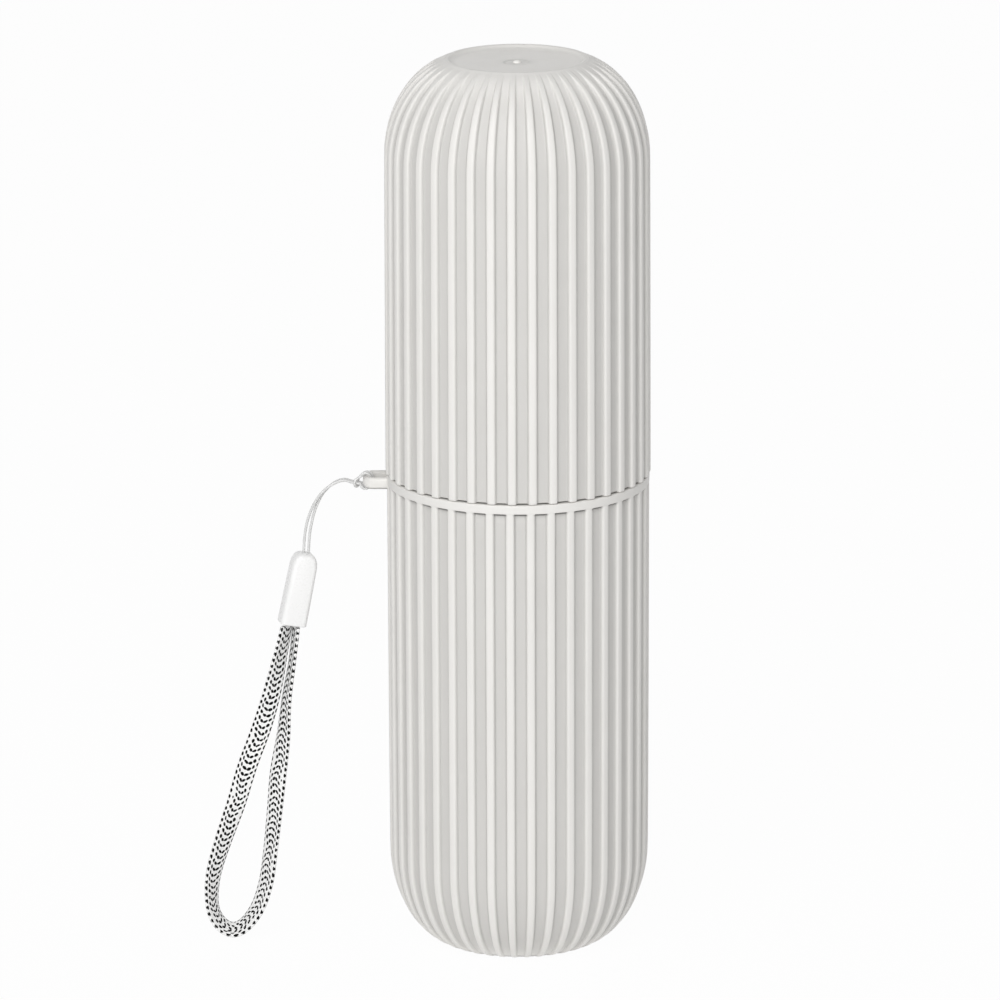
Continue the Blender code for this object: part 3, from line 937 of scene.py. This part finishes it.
@dataclass
class LowerCup:
    """The ribbed lower cup with its collar ring and neck."""

    sizes: CaseSizes
    ribs: RibSection
    turn: float = math.radians(-3.5)
    foot_width: float = 14.5 * MM
    foot_height: float = 23.5 * MM
    foot_steps: int = 11
    foot_plain: float = 1.7 * MM
    foot_fade: float = 4.6 * MM
    foot_painted_shade_fade: float = 9.0 * MM
    # Painted shadow on the foot's underside, and the width over which it lies.
    foot_painted_shade: float = 2.2
    foot_painted_shade_width: float = 2.9 * MM
    recess: float = 0.35 * MM
    floor: float = 2.0 * MM
    inner_foot: float = 15.0 * MM
    ring_height: float = 2.1 * MM
    ring_proud: float = 0.05 * MM
    ring_round: float = 0.28 * MM
    groove_depth: float = 0.5 * MM
    groove_height: float = 0.4 * MM
    neck_height: float = 12.0 * MM
    bead_height: float = 8.0 * MM
    bead_width: float = 1.2 * MM
    bead_proud: float = 0.12 * MM

    def underside(self) -> list[Station]:
        """Return the recessed underside, from its middle to the foot's rim."""
        foot = self.sizes.lower_radius - self.foot_width
        deep = self.recess
        return Station.rings(
            (2.4 * MM, deep + 0.2 * MM),
            (2.8 * MM, deep + 0.2 * MM),
            (3.0 * MM, deep),
            (3.3 * MM, deep),
            (foot - 1.6 * MM, deep),
            (foot - 1.2 * MM, 0.9 * deep),
            (foot - 0.85 * MM, 0.0),
            (foot - 0.45 * MM, 0.0),
        )

    def ring(self) -> list[Station]:
        """Return the collar ring, from the ribs below it to the neck's root, with painted shadow in the
        groove under it.
        """
        top = self.sizes.lower_height
        base = top - self.ring_height
        outer = self.sizes.lower_radius + self.ring_proud
        crest = self.sizes.lower_radius
        valley = crest - self.ribs.height
        soft = self.ring_round
        deep = valley - self.groove_depth
        mouth = base - self.groove_height
        return [
            Station((crest, base - 1.4 * MM), (valley, base - 1.4 * MM)),
            Station((crest, mouth - 0.1 * MM), (valley, mouth - 0.1 * MM)),
            # The last number paints shadow into the groove under the ring.
            Station((crest, mouth), (deep + 0.1 * MM, mouth), 3.0),
            Station((crest, base - 0.1 * MM), (deep, base - 0.1 * MM), 5.0),
            Station((crest, base - 0.02 * MM), (deep + 0.1 * MM, base), 5.0),
            Station((crest, base + 0.02 * MM), (outer - soft, base)),
            Station((outer - 0.03 * MM, base + 0.3 * soft), (outer - 0.25 * soft, base + 0.25 * soft)),
        ] + Station.rings(
            (outer, base + soft),
            (outer, base + 2.0 * soft),
            (outer, top - 2.0 * soft),
            (outer, top - soft),
            (outer - 0.25 * soft, top - 0.25 * soft),
            (outer - soft, top),
            (outer - 2.0 * soft, top),
        )

    def neck(self) -> list[Station]:
        """Return the neck's outside, its rim and its bead, with painted shadow at its root."""
        sizes = self.sizes
        root, top = sizes.lower_height, sizes.lower_height + self.neck_height
        bead = root + self.bead_height
        half = 0.5 * self.bead_width
        radius, bore = sizes.neck_radius, sizes.lower_bore
        middle = 0.5 * (radius + bore)
        return Station.rings(
            # Painted shadow at the neck's root, in the gap under the cap.
            (radius + 0.2 * MM, root, 3.0),
            (radius, root + 0.2 * MM, 3.0),
            (radius, root + 0.6 * MM),
            (radius, bead - half - 0.2 * MM),
            (radius, bead - half),
            (radius + self.bead_proud, bead - 0.25 * half),
            (radius + self.bead_proud, bead + 0.25 * half),
            (radius, bead + half),
            (radius, bead + half + 0.2 * MM),
            (radius, top - 0.5 * MM),
            (radius - 0.06 * MM, top - 0.12 * MM),
            (middle + 0.2 * MM, top),
            (middle - 0.2 * MM, top),
            (bore + 0.06 * MM, top - 0.12 * MM),
            (bore, top - 0.5 * MM),
        )

    def inside(self) -> list[Station]:
        """Return the bore and the rounded inner floor, down to its middle."""
        bore = self.sizes.lower_bore - self.sizes.draft
        side = Station.plain(bore, 0.7 * self.sizes.lower_height)
        return [side] + Station.inner_end(bore, self.inner_foot, self.foot_height, self.floor)

    def build(self, material: Material) -> Object:
        """Return the lower cup.

        Args:
            material: The shell's plastic.

        Returns:
            The piece, which stands for the CAD node.
        """
        foot = self.sizes.lower_radius - self.foot_width
        curve = QuarterCurve(
            centre=foot,
            width=self.foot_width,
            height=self.foot_height,
            end=foot,
            side_z=self.foot_height,
            painted_shade_fade=self.foot_painted_shade_fade,
            painted_darkening=self.foot_painted_shade,
            painted_shade_from=foot + self.foot_painted_shade_width,
        )
        side = self.ribs.shoulder(curve, foot + self.foot_plain, self.foot_fade, -1.0, self.foot_steps)
        stations = self.underside() + side[::-1] + self.ring() + self.neck() + self.inside()
        piece = RibbedShell("ribbed_lower_cup", self.turn, stations, self.ribs).build()
        Bench.dress(piece, material)
        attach(piece, Body.LOWER_CASE.value)
        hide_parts("lower_cup")
        return piece


@dataclass
class UpperCup:
    """The ribbed cap with its dished top, which is also a rinsing cup."""

    sizes: CaseSizes
    ribs: RibSection
    turn: float = math.radians(-2.6)
    shoulder_width: float = 17.2 * MM
    shoulder_height: float = 22.7 * MM
    shoulder_steps: int = 16
    shoulder_plain: float = 0.3 * MM
    shoulder_fade: float = 7.5 * MM
    painted_shade_fade: float = 13.0 * MM
    rib_end_drop: float = 0.2 * MM
    lip_radius: float = 16.4 * MM
    lip_width: float = 1.1 * MM
    lip_round: float = 0.2 * MM
    dish_depth: float = 0.9 * MM
    dish_floor: float = 1.95 * MM
    # Negative: painted light that brightens the dish's floor.
    floor_painted_light: float = -0.3
    ceiling_radius: float = 14.5 * MM
    dimple_radius: float = 3.0 * MM
    dimple_depth: float = 0.2 * MM
    pip_radius: float = 0.9 * MM
    pip_height: float = 0.55 * MM

    @property
    def top(self) -> float:
        """The height of the lip."""
        return self.sizes.mouth_z + self.sizes.upper_height

    def dish(self) -> list[Station]:
        """Return the dish, from the gate's pip in its middle to the lip, with a painted highlight on the
        pip, painted shade round the pip's foot and the dimple's edge, and painted light on the floor.
        """
        floor = self.top - self.dish_depth
        low = floor - self.dimple_depth
        pip, rise = self.pip_radius, self.pip_height
        dimple, wall, painted_shading = self.dimple_radius, self.lip_radius - self.lip_width, self.floor_painted_light
        return Station.rings(
            # The last numbers paint a highlight on the pip (-1.0), shade round its foot and the dimple's
            # edge, and light on the floor.
            (0.42 * MM, low + rise, -1.0),
            (0.78 * pip, low + 0.8 * rise, -1.0),
            (0.98 * pip, low + 0.4 * rise, -1.0),
            (pip + 0.03 * MM, low + 0.05 * rise, 0.6),
            (pip + 0.2 * MM, low, 0.3),
            (dimple - 0.45 * MM, low, 0.1),
            (dimple - 0.25 * MM, low + 0.02 * MM, 0.6),
            (dimple, floor - 0.02 * MM, 0.6),
            (dimple + 0.2 * MM, floor),
            (dimple + 0.8 * MM, floor, painted_shading),
            (wall - 2.8 * MM, floor, painted_shading),
            (wall - 1.7 * MM, floor + 0.06 * MM, painted_shading),
            (wall - 0.9 * MM, floor + 0.2 * MM),
            (wall - 0.35 * MM, floor + 0.5 * self.dish_depth),
            (wall - 0.1 * MM, self.top - 0.12 * MM),
            (wall + 0.08 * MM, self.top - 0.02 * MM),
            (wall + 0.3 * MM, self.top),
            (self.lip_radius - 0.45 * MM, self.top),
            (self.lip_radius - 0.18 * MM, self.top),
        )

    def mouth(self) -> list[Station]:
        """Return the ribs' rounded ends and the mouth's edge, down to the bore."""
        low = self.sizes.mouth_z
        crest = self.sizes.upper_radius
        valley = crest - self.ribs.height
        bore = self.sizes.upper_bore
        tip = low - self.rib_end_drop
        return [
            Station((crest, low + 1.4 * MM), (valley, low + 1.4 * MM)),
            Station((crest, tip + 0.5 * MM), (valley, low + 0.4 * MM)),
            Station((crest - 0.06 * MM, tip + 0.2 * MM), (valley, low + 0.16 * MM)),
            Station((crest - 0.26 * MM, tip + 0.02 * MM), (valley - 0.04 * MM, low + 0.06 * MM)),
            Station((valley + 0.25 * MM, tip), (valley - 0.2 * MM, low)),
        ] + Station.rings(
            (bore + 0.3 * MM, low),
            (bore + 0.05 * MM, low + 0.06 * MM),
            (bore, low + 0.35 * MM),
        )

    def build(self, material: Material) -> Object:
        """Return the cap.

        Args:
            material: The shell's plastic.

        Returns:
            The piece, which stands for the CAD node.
        """
        sizes = self.sizes
        side = sizes.upper_radius - sizes.draft
        centre = side - self.shoulder_width
        lip_angle = math.acos((self.lip_radius - centre) / self.shoulder_width)
        side_z = self.top - self.lip_round - self.shoulder_height * math.sin(lip_angle)
        curve = QuarterCurve(
            centre, self.shoulder_width, self.shoulder_height, self.lip_radius, side_z, self.painted_shade_fade
        )
        faded = self.lip_radius + self.shoulder_plain
        shoulder = self.ribs.shoulder(curve, faded, self.shoulder_fade, 1.0, self.shoulder_steps)
        ceiling = self.top - self.dish_depth - self.dish_floor
        bore = sizes.upper_bore - sizes.draft
        inside = Station.inner_end(bore, self.ceiling_radius, side_z, ceiling)
        stations = self.dish() + shoulder[::-1] + self.mouth() + inside
        piece = RibbedShell("ribbed_cap", self.turn, stations, self.ribs).build()
        Bench.dress(piece, material)
        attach(piece, Body.CAP.value)
        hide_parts("upper_cup")
        return piece


@dataclass
class Eyelet:
    """The flat loop of rounded bar on the collar ring, which holds the lanyard."""

    reach: float = 34.6 * MM
    half_width: float = 2.6 * MM
    back_width: float = 3.5 * MM
    corner: float = 1.7 * MM
    bar_width: float = 1.6 * MM
    bar_height: float = 2.7 * MM
    bar_round: float = 0.74 * MM
    height: float = 109.4 * MM
    root: float = 28.4 * MM
    corner_steps: int = 6
    weld: float = 0.01 * MM
    sharp_angle: float = 60.0
    # Painted shade under the bar and on the strand behind.
    painted_shade_below: float = 4.0
    painted_shade_behind: float = 0.5
    end_taper: tuple[tuple[float, float], ...] = (
        (-0.9 * MM, 0.99),
        (-0.5 * MM, 0.96),
        (-0.1 * MM, 0.93),
        (0.15 * MM, 0.90),
        (0.4 * MM, 0.84),
        (0.6 * MM, 0.80),
    )

    def build(self, material: Material) -> Object:
        """Return the eyelet.

        Args:
            material: The shell's plastic.

        Returns:
            The piece, whose two ends run into the cup's wall.
        """
        root = (-self.root, self.back_width, self.height)
        bpy.ops.mesh.primitive_plane_add(size=1.0, location=root, rotation=(QUARTER, 0.0, QUARTER))
        piece = Bench.named("lanyard_eyelet")
        piece.scale = (self.bar_width, self.bar_height, 1.0)
        Bench.settle(piece)
        corner_x = -(self.reach - self.corner)
        back_y = self.back_width - self.corner
        front_y = self.corner - self.half_width
        with Bench.editing(piece):
            Bench.choose_all()
            self.draw((corner_x + self.root, 0.0, 0.0))
            self.turn_corner((corner_x, back_y, self.height))
            self.draw((0.0, front_y - back_y, 0.0))
            self.turn_corner((corner_x, front_y, self.height))
            self.draw((-corner_x - self.root, 0.0, 0.0))
            Bench.choose_all()
            bpy.ops.mesh.remove_doubles(threshold=self.weld)
            Bench.face_out()
        edges = {"limit_method": "ANGLE", "angle_limit": math.radians(self.sharp_angle)}
        Bench.apply(piece, "BEVEL", width=self.bar_round, segments=5, **edges)
        self.round_end(piece)
        Bench.write_painted_shade(piece, self.painted_shade_at)
        Bench.smooth(piece, self.sharp_angle)
        Bench.dress(piece, material)
        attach(piece, Body.LOWER_CASE.value)
        return piece

    def round_end(self, piece: Object) -> None:
        """Draw the outer bar's top and bottom together towards its outside.

        Args:
            piece: The eyelet.
        """
        centre = (0.0, 0.0, self.height)
        with Bench.editing(piece):
            for depth, share in self.end_taper:
                Bench.choose(lambda vert: vert.co.x < -(self.reach + depth))
                bpy.ops.transform.resize(value=(1.0, 1.0, share), center_override=centre)

    def painted_shade_at(self, place: Vector) -> float:
        """Return the painted shade on the eyelet's skin: painted shade under the bar, and on the strand
        behind.

        Args:
            place: A place on the eyelet.

        Returns:
            The painted shade.
        """
        drop = (self.height - place.z) / (0.5 * self.bar_height)
        below = smooth_step(2.5 * drop - 1.5)
        return self.painted_shade_below * below + self.painted_shade_behind * smooth_step(place.y / self.half_width)

    @staticmethod
    def draw(way: Place) -> None:
        """Extrude the bar's end along a straight."""
        bpy.ops.mesh.extrude_region_move(TRANSFORM_OT_translate={"value": way})

    def turn_corner(self, centre: Place) -> None:
        """Spin the bar's end a quarter turn about a corner's centre."""
        bpy.ops.mesh.spin(steps=self.corner_steps, angle=-QUARTER, center=centre, axis=SPIN_AXIS)


# ---- The lanyard ----


@dataclass
class ClipFrame:
    """The clip's placement, which the string and the strap share."""

    pivot: Vector = field(default_factory=lambda: Vector((-34.6, 0.0, 109.4)) * MM)
    top: Vector = field(default_factory=lambda: Vector((-13.95, -1.5, -16.8)) * MM)
    lean: float = math.radians(11.5)
    nod: float = math.radians(3.0)
    yaw: float = math.radians(15.0)

    def matrix(self) -> Matrix:
        """Return the frame at the middle of the clip's top, its own +Z up the clip."""
        axis = Vector((math.sin(self.lean), math.sin(self.nod), math.cos(self.lean))).normalized()
        wide = Vector((math.cos(self.yaw), math.sin(self.yaw), 0.0))
        wide = (wide - wide.dot(axis) * axis).normalized()
        frame = Matrix((wide, axis.cross(wide), axis)).transposed().to_4x4()
        frame.translation = self.pivot + self.top
        return frame


@dataclass
class StrapClip:
    """The moulded clip that joins the string to the strap."""

    frame: ClipFrame
    width: float = 6.2 * MM
    depth: float = 4.9 * MM
    length: float = 17.0 * MM
    top_share: float = 0.94
    top_part: float = 0.3
    shoulder: tuple[float, float] = (2.1 * MM, 3.3 * MM)
    edge: float = 1.1 * MM
    rim: float = 0.3 * MM
    corner_steps: int = 7
    edge_steps: int = 5
    rim_steps: int = 3
    smooth_angle: float = 60.0

    def build(self, material: Material) -> Object:
        """Return the clip.

        Args:
            material: The clip's plastic.

        Returns:
            The piece, which stands for the CAD node.
        """
        across, along = self.shoulder
        tall = self.length / along * across
        bpy.ops.mesh.primitive_cube_add(size=1.0, location=(0.0, 0.0, -0.5 * tall))
        piece = Bench.named("moulded_strap_clip")
        piece.scale = (self.width, self.depth, tall)
        Bench.settle(piece)
        with Bench.editing(piece, "EDGE"):
            Bench.choose(self.is_top_corner, "edges")
            bpy.ops.mesh.bevel(offset=across, segments=self.corner_steps, affect="EDGES")
        piece.scale = (1.0, 1.0, along / across)
        Bench.settle(piece)
        with Bench.editing(piece, "EDGE"):
            Bench.choose(self.is_side_edge, "edges")
            bpy.ops.mesh.bevel(
                offset=self.edge, segments=self.edge_steps, affect="EDGES", clamp_overlap=True
            )
            Bench.choose(self.is_foot_edge, "edges")
            bpy.ops.mesh.bevel(offset=self.rim, segments=self.rim_steps, affect="EDGES")
            bpy.ops.mesh.select_mode(type="VERT")
            Bench.choose(lambda vert: vert.co.z > -self.top_part * self.length)
            bpy.ops.transform.resize(value=(self.top_share, 1.0, 1.0), center_override=ORIGIN)
            Bench.face_out()
        Bench.smooth(piece, self.smooth_angle)
        piece.matrix_world = self.frame.matrix()
        Bench.settle(piece)
        Bench.dress(piece, material)
        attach(piece, Body.LANYARD.value)
        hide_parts("strap_clip")
        return piece

    @staticmethod
    def is_top_corner(edge: Part) -> bool:
        """Return whether an edge of the block runs from front to back at its top."""
        a, b = (vert.co for vert in edge.verts)
        return abs(a.x - b.x) < MM and abs(a.z - b.z) < MM and a.z > -MM

    def is_side_edge(self, edge: Part) -> bool:
        """Return whether an edge bounds the front or the back, and reaches above the foot."""
        a, b = (vert.co for vert in edge.verts)
        above = max(a.z, b.z) > -0.9 * self.length
        return abs(a.y) > 0.49 * self.depth and a.y * b.y > 0.0 and above

    def is_foot_edge(self, edge: Part) -> bool:
        """Return whether an edge bounds the foot."""
        return max(vert.co.z for vert in edge.verts) < -0.99 * self.length


@dataclass
class LanyardString:
    """The doubled nylon string, girth-hitched round the eyelet's outer bar."""

    frame: ClipFrame
    diameter: float = 0.65 * MM
    step: float = 0.5 * MM
    strand_gap: float = 0.45 * MM
    clip_gap: float = 0.3 * MM
    hitch_radii: tuple[float, float] = (1.42 * MM, 1.84 * MM)
    hitch_spread: float = 0.62 * MM
    hitch_start: float = math.radians(-160.0)
    hitch_end: float = math.radians(148.0)
    bight_skew: float = 0.35
    hitch_steps: int = 14
    bight: tuple[Place, ...] = (
        (-0.00212, 0.00098, 0.00030),
        (-0.00232, 0.00112, -0.00040),
        (-0.00222, 0.00085, -0.00115),
        (-0.00208, 0.0, -0.00140),
    )
    route: tuple[Place, ...] = (
        (-0.0025, 0.0, -0.00055),
        (-0.0036, 0.0, -0.00025),
        (-0.0053, -0.0002, 0.00015),
        (-0.0076, -0.0004, -0.0007),
        (-0.0100, -0.0006, -0.0028),
        (-0.0118, -0.0009, -0.0058),
        (-0.0129, -0.0011, -0.0090),
        (-0.0136, -0.0013, -0.0126),
    )

    @property
    def spread(self) -> float:
        """Half the distance between the two strands' centre lines."""
        return 0.5 * (self.diameter + self.strand_gap)

    def hitch(self) -> list[Vector]:
        """Return half of the hitch, from the strand's end of it to the bight's middle."""
        wide, tall = self.hitch_radii
        made = []
        for step in range(self.hitch_steps + 1):
            share = step / self.hitch_steps
            angle = self.hitch_start + share * (self.hitch_end - self.hitch_start)
            side = self.spread + share * (self.hitch_spread - self.spread)
            made.append(Vector((wide * math.cos(angle), side, tall * math.sin(angle))))
        return made + [Vector(point) for point in self.bight]

    def strand(self, side: float) -> list[Vector]:
        """Return one strand, from the clip to the hitch.

        Args:
            side: 1 for the strand on one side of the doubled route, and -1 for the other.

        Returns:
            The points of its centre line, from the bar's middle.
        """
        end = self.frame.matrix() @ Vector((0.0, 0.0, self.clip_gap)) - self.frame.pivot
        route = [Vector(point) for point in self.route] + [end]
        made = []
        for index, point in enumerate(route):
            before, after = route[max(index - 1, 0)], route[min(index + 1, len(route) - 1)]
            normal = (after - before).normalized().cross(BACK)
            turn = QUARTER * smooth_step((index - 2) / (len(route) - 3))
            offset = math.cos(turn) * BACK + math.sin(turn) * normal
            made.append(point + side * self.spread * offset)
        return made[::-1]

    def line(self) -> list[Vector]:
        """Return the whole string's centre line, from the clip round the eyelet and back."""
        half = self.hitch()
        other = [Vector((point.x, -point.y, point.z)) for point in half[:-1]]
        loop = half + other[::-1]
        for point in loop:
            point.x += self.bight_skew * point.y
        route = self.strand(1.0) + loop + self.strand(-1.0)[::-1]
        fine = Curves.spaced(Curves.through(route, 8), self.step)
        return [self.frame.pivot + point for point in fine]

    def build(self, material: Material, clip: Object) -> Object:
        """Return the string.

        Args:
            material: The string's nylon.
            clip: The clip that both its ends go into; not used.

        Returns:
            The piece, which stands for the CAD node.
        """
        line = self.line()
        curve = bpy.data.curves.new("nylon_string", "CURVE")
        curve.dimensions = "3D"
        curve.bevel_depth = 0.5 * self.diameter
        curve.bevel_resolution = 4
        curve.use_fill_caps = True
        spline = curve.splines.new("POLY")
        spline.points.add(len(line) - 1)
        for control, point in zip(spline.points, line):
            control.co = (*point, 1.0)
        piece = Bench.add("nylon_string", curve)
        curve.materials.append(material)
        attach(piece, Body.LANYARD.value)
        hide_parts("lanyard_string")
        round(Curves.length(line), 4)
        return piece


@dataclass
class WristStrap:
    """The flat braided wrist strap, one loop whose two ends go into the clip."""

    frame: ClipFrame
    width: float = 4.6 * MM
    thickness: float = 0.8 * MM
    step: float = 0.30 * MM
    clip_length: float = 17.0 * MM
    clip_gap: float = 0.3 * MM
    scallop: float = 0.05 * MM
    pitch: float = 1.5 * MM
    smooth_angle: float = 70.0
    route: tuple[tuple[float, float, float, float], ...] = (
        (-0.0011, -0.0003, -0.0001, 58.0),
        (-0.0027, -0.0006, -0.0074, 48.0),
        (-0.0049, -0.0008, -0.0168, 24.0),
        (-0.0073, -0.0010, -0.0247, 8.0),
        (-0.0105, -0.0012, -0.0334, 6.0),
        (-0.0132, -0.0014, -0.0423, 14.0),
        (-0.0163, -0.0015, -0.0513, 30.0),
        (-0.0186, -0.0015, -0.0591, 42.0),
        (-0.0192, -0.0015, -0.0652, 54.0),
        (-0.0186, -0.0015, -0.0694, 60.0),
        (-0.0166, -0.0015, -0.0723, 62.0),
        (-0.0140, -0.0015, -0.0732, 62.0),
        (-0.0112, -0.0014, -0.0716, 58.0),
        (-0.0084, -0.0012, -0.0674, 52.0),
        (-0.0065, -0.0010, -0.0613, 48.0),
        (-0.0054, -0.0008, -0.0535, 47.0),
        (-0.0044, -0.0006, -0.0445, 42.0),
        (-0.0035, -0.0004, -0.0357, 36.0),
        (-0.0022, -0.0002, -0.0269, 50.0),
        (-0.0013, 0.0, -0.0175, 66.0),
        (0.0, 0.0001, -0.0091, 74.0),
        (0.0011, 0.0001, -0.0001, 74.0),
    )

    def rings(self) -> list[tuple[Vector, Vector, Vector]]:
        """Return each ring's centre, the direction across the strap and the one out of its face."""
        foot = self.frame.matrix() @ Vector((0.0, 0.0, -self.clip_length - self.clip_gap))
        points = [Vector(point) for point in self.route]
        picked = Curves.spaced(Curves.through(points, 24), self.step)
        made = []
        for index, point in enumerate(picked):
            before, after = picked[max(index - 1, 0)], picked[min(index + 1, len(picked) - 1)]
            tangent = (after.xyz - before.xyz).normalized()
            inward = tangent.cross(BACK).normalized()
            turn = math.radians(point[3])
            across = math.cos(turn) * inward + math.sin(turn) * BACK
            across = (across - across.dot(tangent) * tangent).normalized()
            made.append((foot + point.xyz, across, tangent.cross(across)))
        return made

    def section(self) -> list[tuple[float, float]]:
        """Return the strap's section, a low lens with round edges, as offsets across and out."""
        half, thick = 0.5 * self.width, 0.5 * self.thickness
        shares = ((1.0, 0.0), (0.97, 0.55), (0.88, 0.86), (0.6, 0.97), (0.3, 1.0), (0.0, 0.92))
        right = [(half * across, thick * out) for across, out in shares]
        left = [(-across, out) for across, out in right[-2::-1]]
        front = right + left
        return front + [(across, -out) for across, out in front[-2:0:-1]]

    def build(self, material: Material) -> Object:
        """Return the strap.

        Args:
            material: The strap's braid.

        Returns:
            The piece, which stands for the CAD node.
        """
        rings, section = self.rings(), self.section()
        mesh = bmesh.new()
        braid = mesh.loops.layers.uv.new("braid")
        rows, places, travelled = [], {}, 0.0
        for number, (centre, across, out) in enumerate(rings):
            if number:
                travelled += (centre - rings[number - 1][0]).length
            swell = 1.0 + self.scallop / self.width * math.cos(CIRCLE * travelled / self.pitch)
            row = [mesh.verts.new(centre + swell * x * across + y * out) for x, y in section]
            for vert, (x, _) in zip(row, section):
                places[vert] = (x / MM, travelled / MM)
            rows.append(row)
        size = len(section)
        for first, second in zip(rows, rows[1:]):
            for i in range(size):
                j = (i + 1) % size
                mesh.faces.new((first[i], first[j], second[j], second[i]))
        mesh.faces.new(rows[0][::-1])
        mesh.faces.new(rows[-1])
        for face in mesh.faces:
            for loop in face.loops:
                loop[braid].uv = places[loop.vert]
        bmesh.ops.recalc_face_normals(mesh, faces=mesh.faces)
        data = bpy.data.meshes.new("braided_wrist_strap")
        mesh.to_mesh(data)
        mesh.free()
        piece = Bench.add("braided_wrist_strap", data)
        Bench.smooth(piece, self.smooth_angle)
        Bench.dress(piece, material)
        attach(piece, Body.LANYARD.value)
        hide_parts("wrist_strap")
        path = [centre for centre, _, _ in rings]
        round(Curves.length(path), 4)
        return piece


# ---- The studio ----


@dataclass(frozen=True)
class PhotoCamera:
    """The photograph's viewpoint."""

    place: Place = (0.0, -1.43919, 0.50406)
    pitch: float = math.radians(15.512)
    yaw: float = math.radians(0.164)
    roll: float = math.radians(-0.202)
    focal_widths: float = 6.5407
    sensor: float = 36.0

    def build(self) -> Object:
        """Return the camera, which is the scene's own."""
        yaw = Matrix.Rotation(self.yaw, 3, "Z")
        ahead = yaw @ Vector((0.0, math.cos(self.pitch), -math.sin(self.pitch)))
        right = yaw @ Vector((1.0, 0.0, 0.0))
        above = right.cross(ahead)
        cos, sin = math.cos(self.roll), math.sin(self.roll)
        axes = Matrix((cos * right + sin * above, cos * above - sin * right, -ahead)).transposed()
        data = bpy.data.cameras.new("photo_camera")
        data.sensor_fit = "HORIZONTAL"
        data.sensor_width = self.sensor
        data.lens = self.focal_widths * self.sensor
        data.clip_start = 0.01
        data.clip_end = 30.0
        camera = Bench.add("photo_camera", data)
        camera.matrix_world = Matrix.Translation(self.place) @ axes.to_4x4()
        bpy.context.scene.camera = camera
        return camera


@dataclass(frozen=True)
class Softbox:
    """One area lamp that faces a point of the case."""

    name: str
    place: Place
    aim: Place
    size: tuple[float, float]
    power: float

    def build(self) -> None:
        """Hang the lamp."""
        data = bpy.data.lights.new(self.name, "AREA")
        data.shape = "RECTANGLE"
        data.size, data.size_y = self.size
        data.energy = self.power
        lamp = Bench.add(self.name, data)
        lamp.location = self.place
        way = Vector(self.aim) - Vector(self.place)
        lamp.rotation_euler = way.to_track_quat("-Z", "Y").to_euler()


@dataclass(frozen=True)
class Studio:
    """The pale floor, the white surround and the soft lamps."""

    floor_size: float = 6.0
    floor_colour: float = 0.92
    floor_white: float = 0.97
    floor_lift: float = 0.18
    floor_roughness: float = 0.9
    floor_drop: float = 0.02 * MM
    ambient: float = 0.32
    lamps: tuple[Softbox, ...] = (
        Softbox("key_softbox", (-0.35, -1.17, 1.12), (0.0, 0.0, 0.11), (1.0, 1.0), 10.8),
        Softbox("front_softbox", (-0.08, -1.60, 0.06), (0.0, 0.0, 0.06), (1.2, 1.2), 11.5),
    )

    def build_floor(self) -> Object:
        """Lay the floor, white to the camera and pale to the light."""
        bpy.ops.mesh.primitive_plane_add(size=self.floor_size, location=(0.0, 0.0, -self.floor_drop))
        floor = Bench.named("studio_floor")
        shade = Shade("studio_white")
        shade.inputs["Base Color"].default_value = (self.floor_colour,) * 3 + (1.0,)
        shade.inputs["Roughness"].default_value = self.floor_roughness
        shade.inputs["Specular IOR Level"].default_value = 0.0
        glow = shade.node("Emission")
        glow.inputs["Strength"].default_value = 1.0
        mix = shade.node("MixShader")
        share = shade.sum(shade.shown_ray(), self.floor_white - self.floor_lift, self.floor_lift)
        parts = (share, shade.shader.outputs[0], glow.outputs[0])
        for part, slot in zip(parts, mix.inputs):
            shade.join(part, slot)
        shade.join(mix.outputs[0], shade.tree.nodes["Material Output"].inputs[0])
        Bench.dress(floor, shade.material)
        return floor

    def build_world(self) -> None:
        """Surround the case with white that lights it softly."""
        world = bpy.data.worlds.new("studio_world")
        world.use_nodes = True
        bpy.context.scene.world = world
        nodes = NodeBench(world.node_tree)
        back = nodes.tree.nodes["Background"].inputs
        level = nodes.node("MapRange")
        level.inputs["To Min"].default_value = self.ambient
        nodes.join(nodes.shown_ray(), level.inputs[0])
        nodes.join(level.outputs[0], back["Strength"])
        back["Color"].default_value = WHITE

    def build(self) -> None:
        """Set up the studio."""
        bpy.context.scene.view_settings.view_transform = "Standard"
        self.build_floor()
        self.build_world()
        for lamp in self.lamps:
            lamp.build()


@dataclass
class TravelCase:
    """The whole case: both cups, the divider, the eyelet and the lanyard."""

    finishes: Finishes = field(default_factory=Finishes)
    sizes: CaseSizes = field(default_factory=CaseSizes)
    ribs: RibSection = field(default_factory=RibSection)

    def build_lanyard(self) -> list[Object]:
        """Return the lanyard's clip, string and strap."""
        frame = ClipFrame()
        clip = StrapClip(frame).build(self.finishes.clip.make())
        string = LanyardString(frame).build(self.finishes.string.make(), clip)
        strap = WristStrap(frame).build(self.finishes.strap.make())
        return [clip, string, strap]

    def build_shells(self) -> list[Object]:
        """Return both cups and the eyelet."""
        shell = self.finishes.shell.make()
        lower = LowerCup(self.sizes, self.ribs).build(shell)
        eyelet = Eyelet().build(shell)
        upper = UpperCup(self.sizes, self.ribs).build(shell)
        return [lower, eyelet, upper]

    def dress_divider(self, node: Object) -> Object:
        """Give the CAD divider its plastic."""
        Bench.dress(node, self.finishes.divider.make())
        return node


def main() -> None:
    """Build the looks of the case round its frame, then the studio."""
    logging.basicConfig(level=logging.INFO, format="%(name)s: %(message)s")
    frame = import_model()
    PhotoCamera().build()
    case = TravelCase()
    pieces = case.build_lanyard() + case.build_shells()
    pieces.append(case.dress_divider(frame["nodes"]["brush_divider"]))
    for piece in pieces:
        LOG.info("%s is done", piece.name)
    Studio().build()


if __name__ == "__main__":
    main()
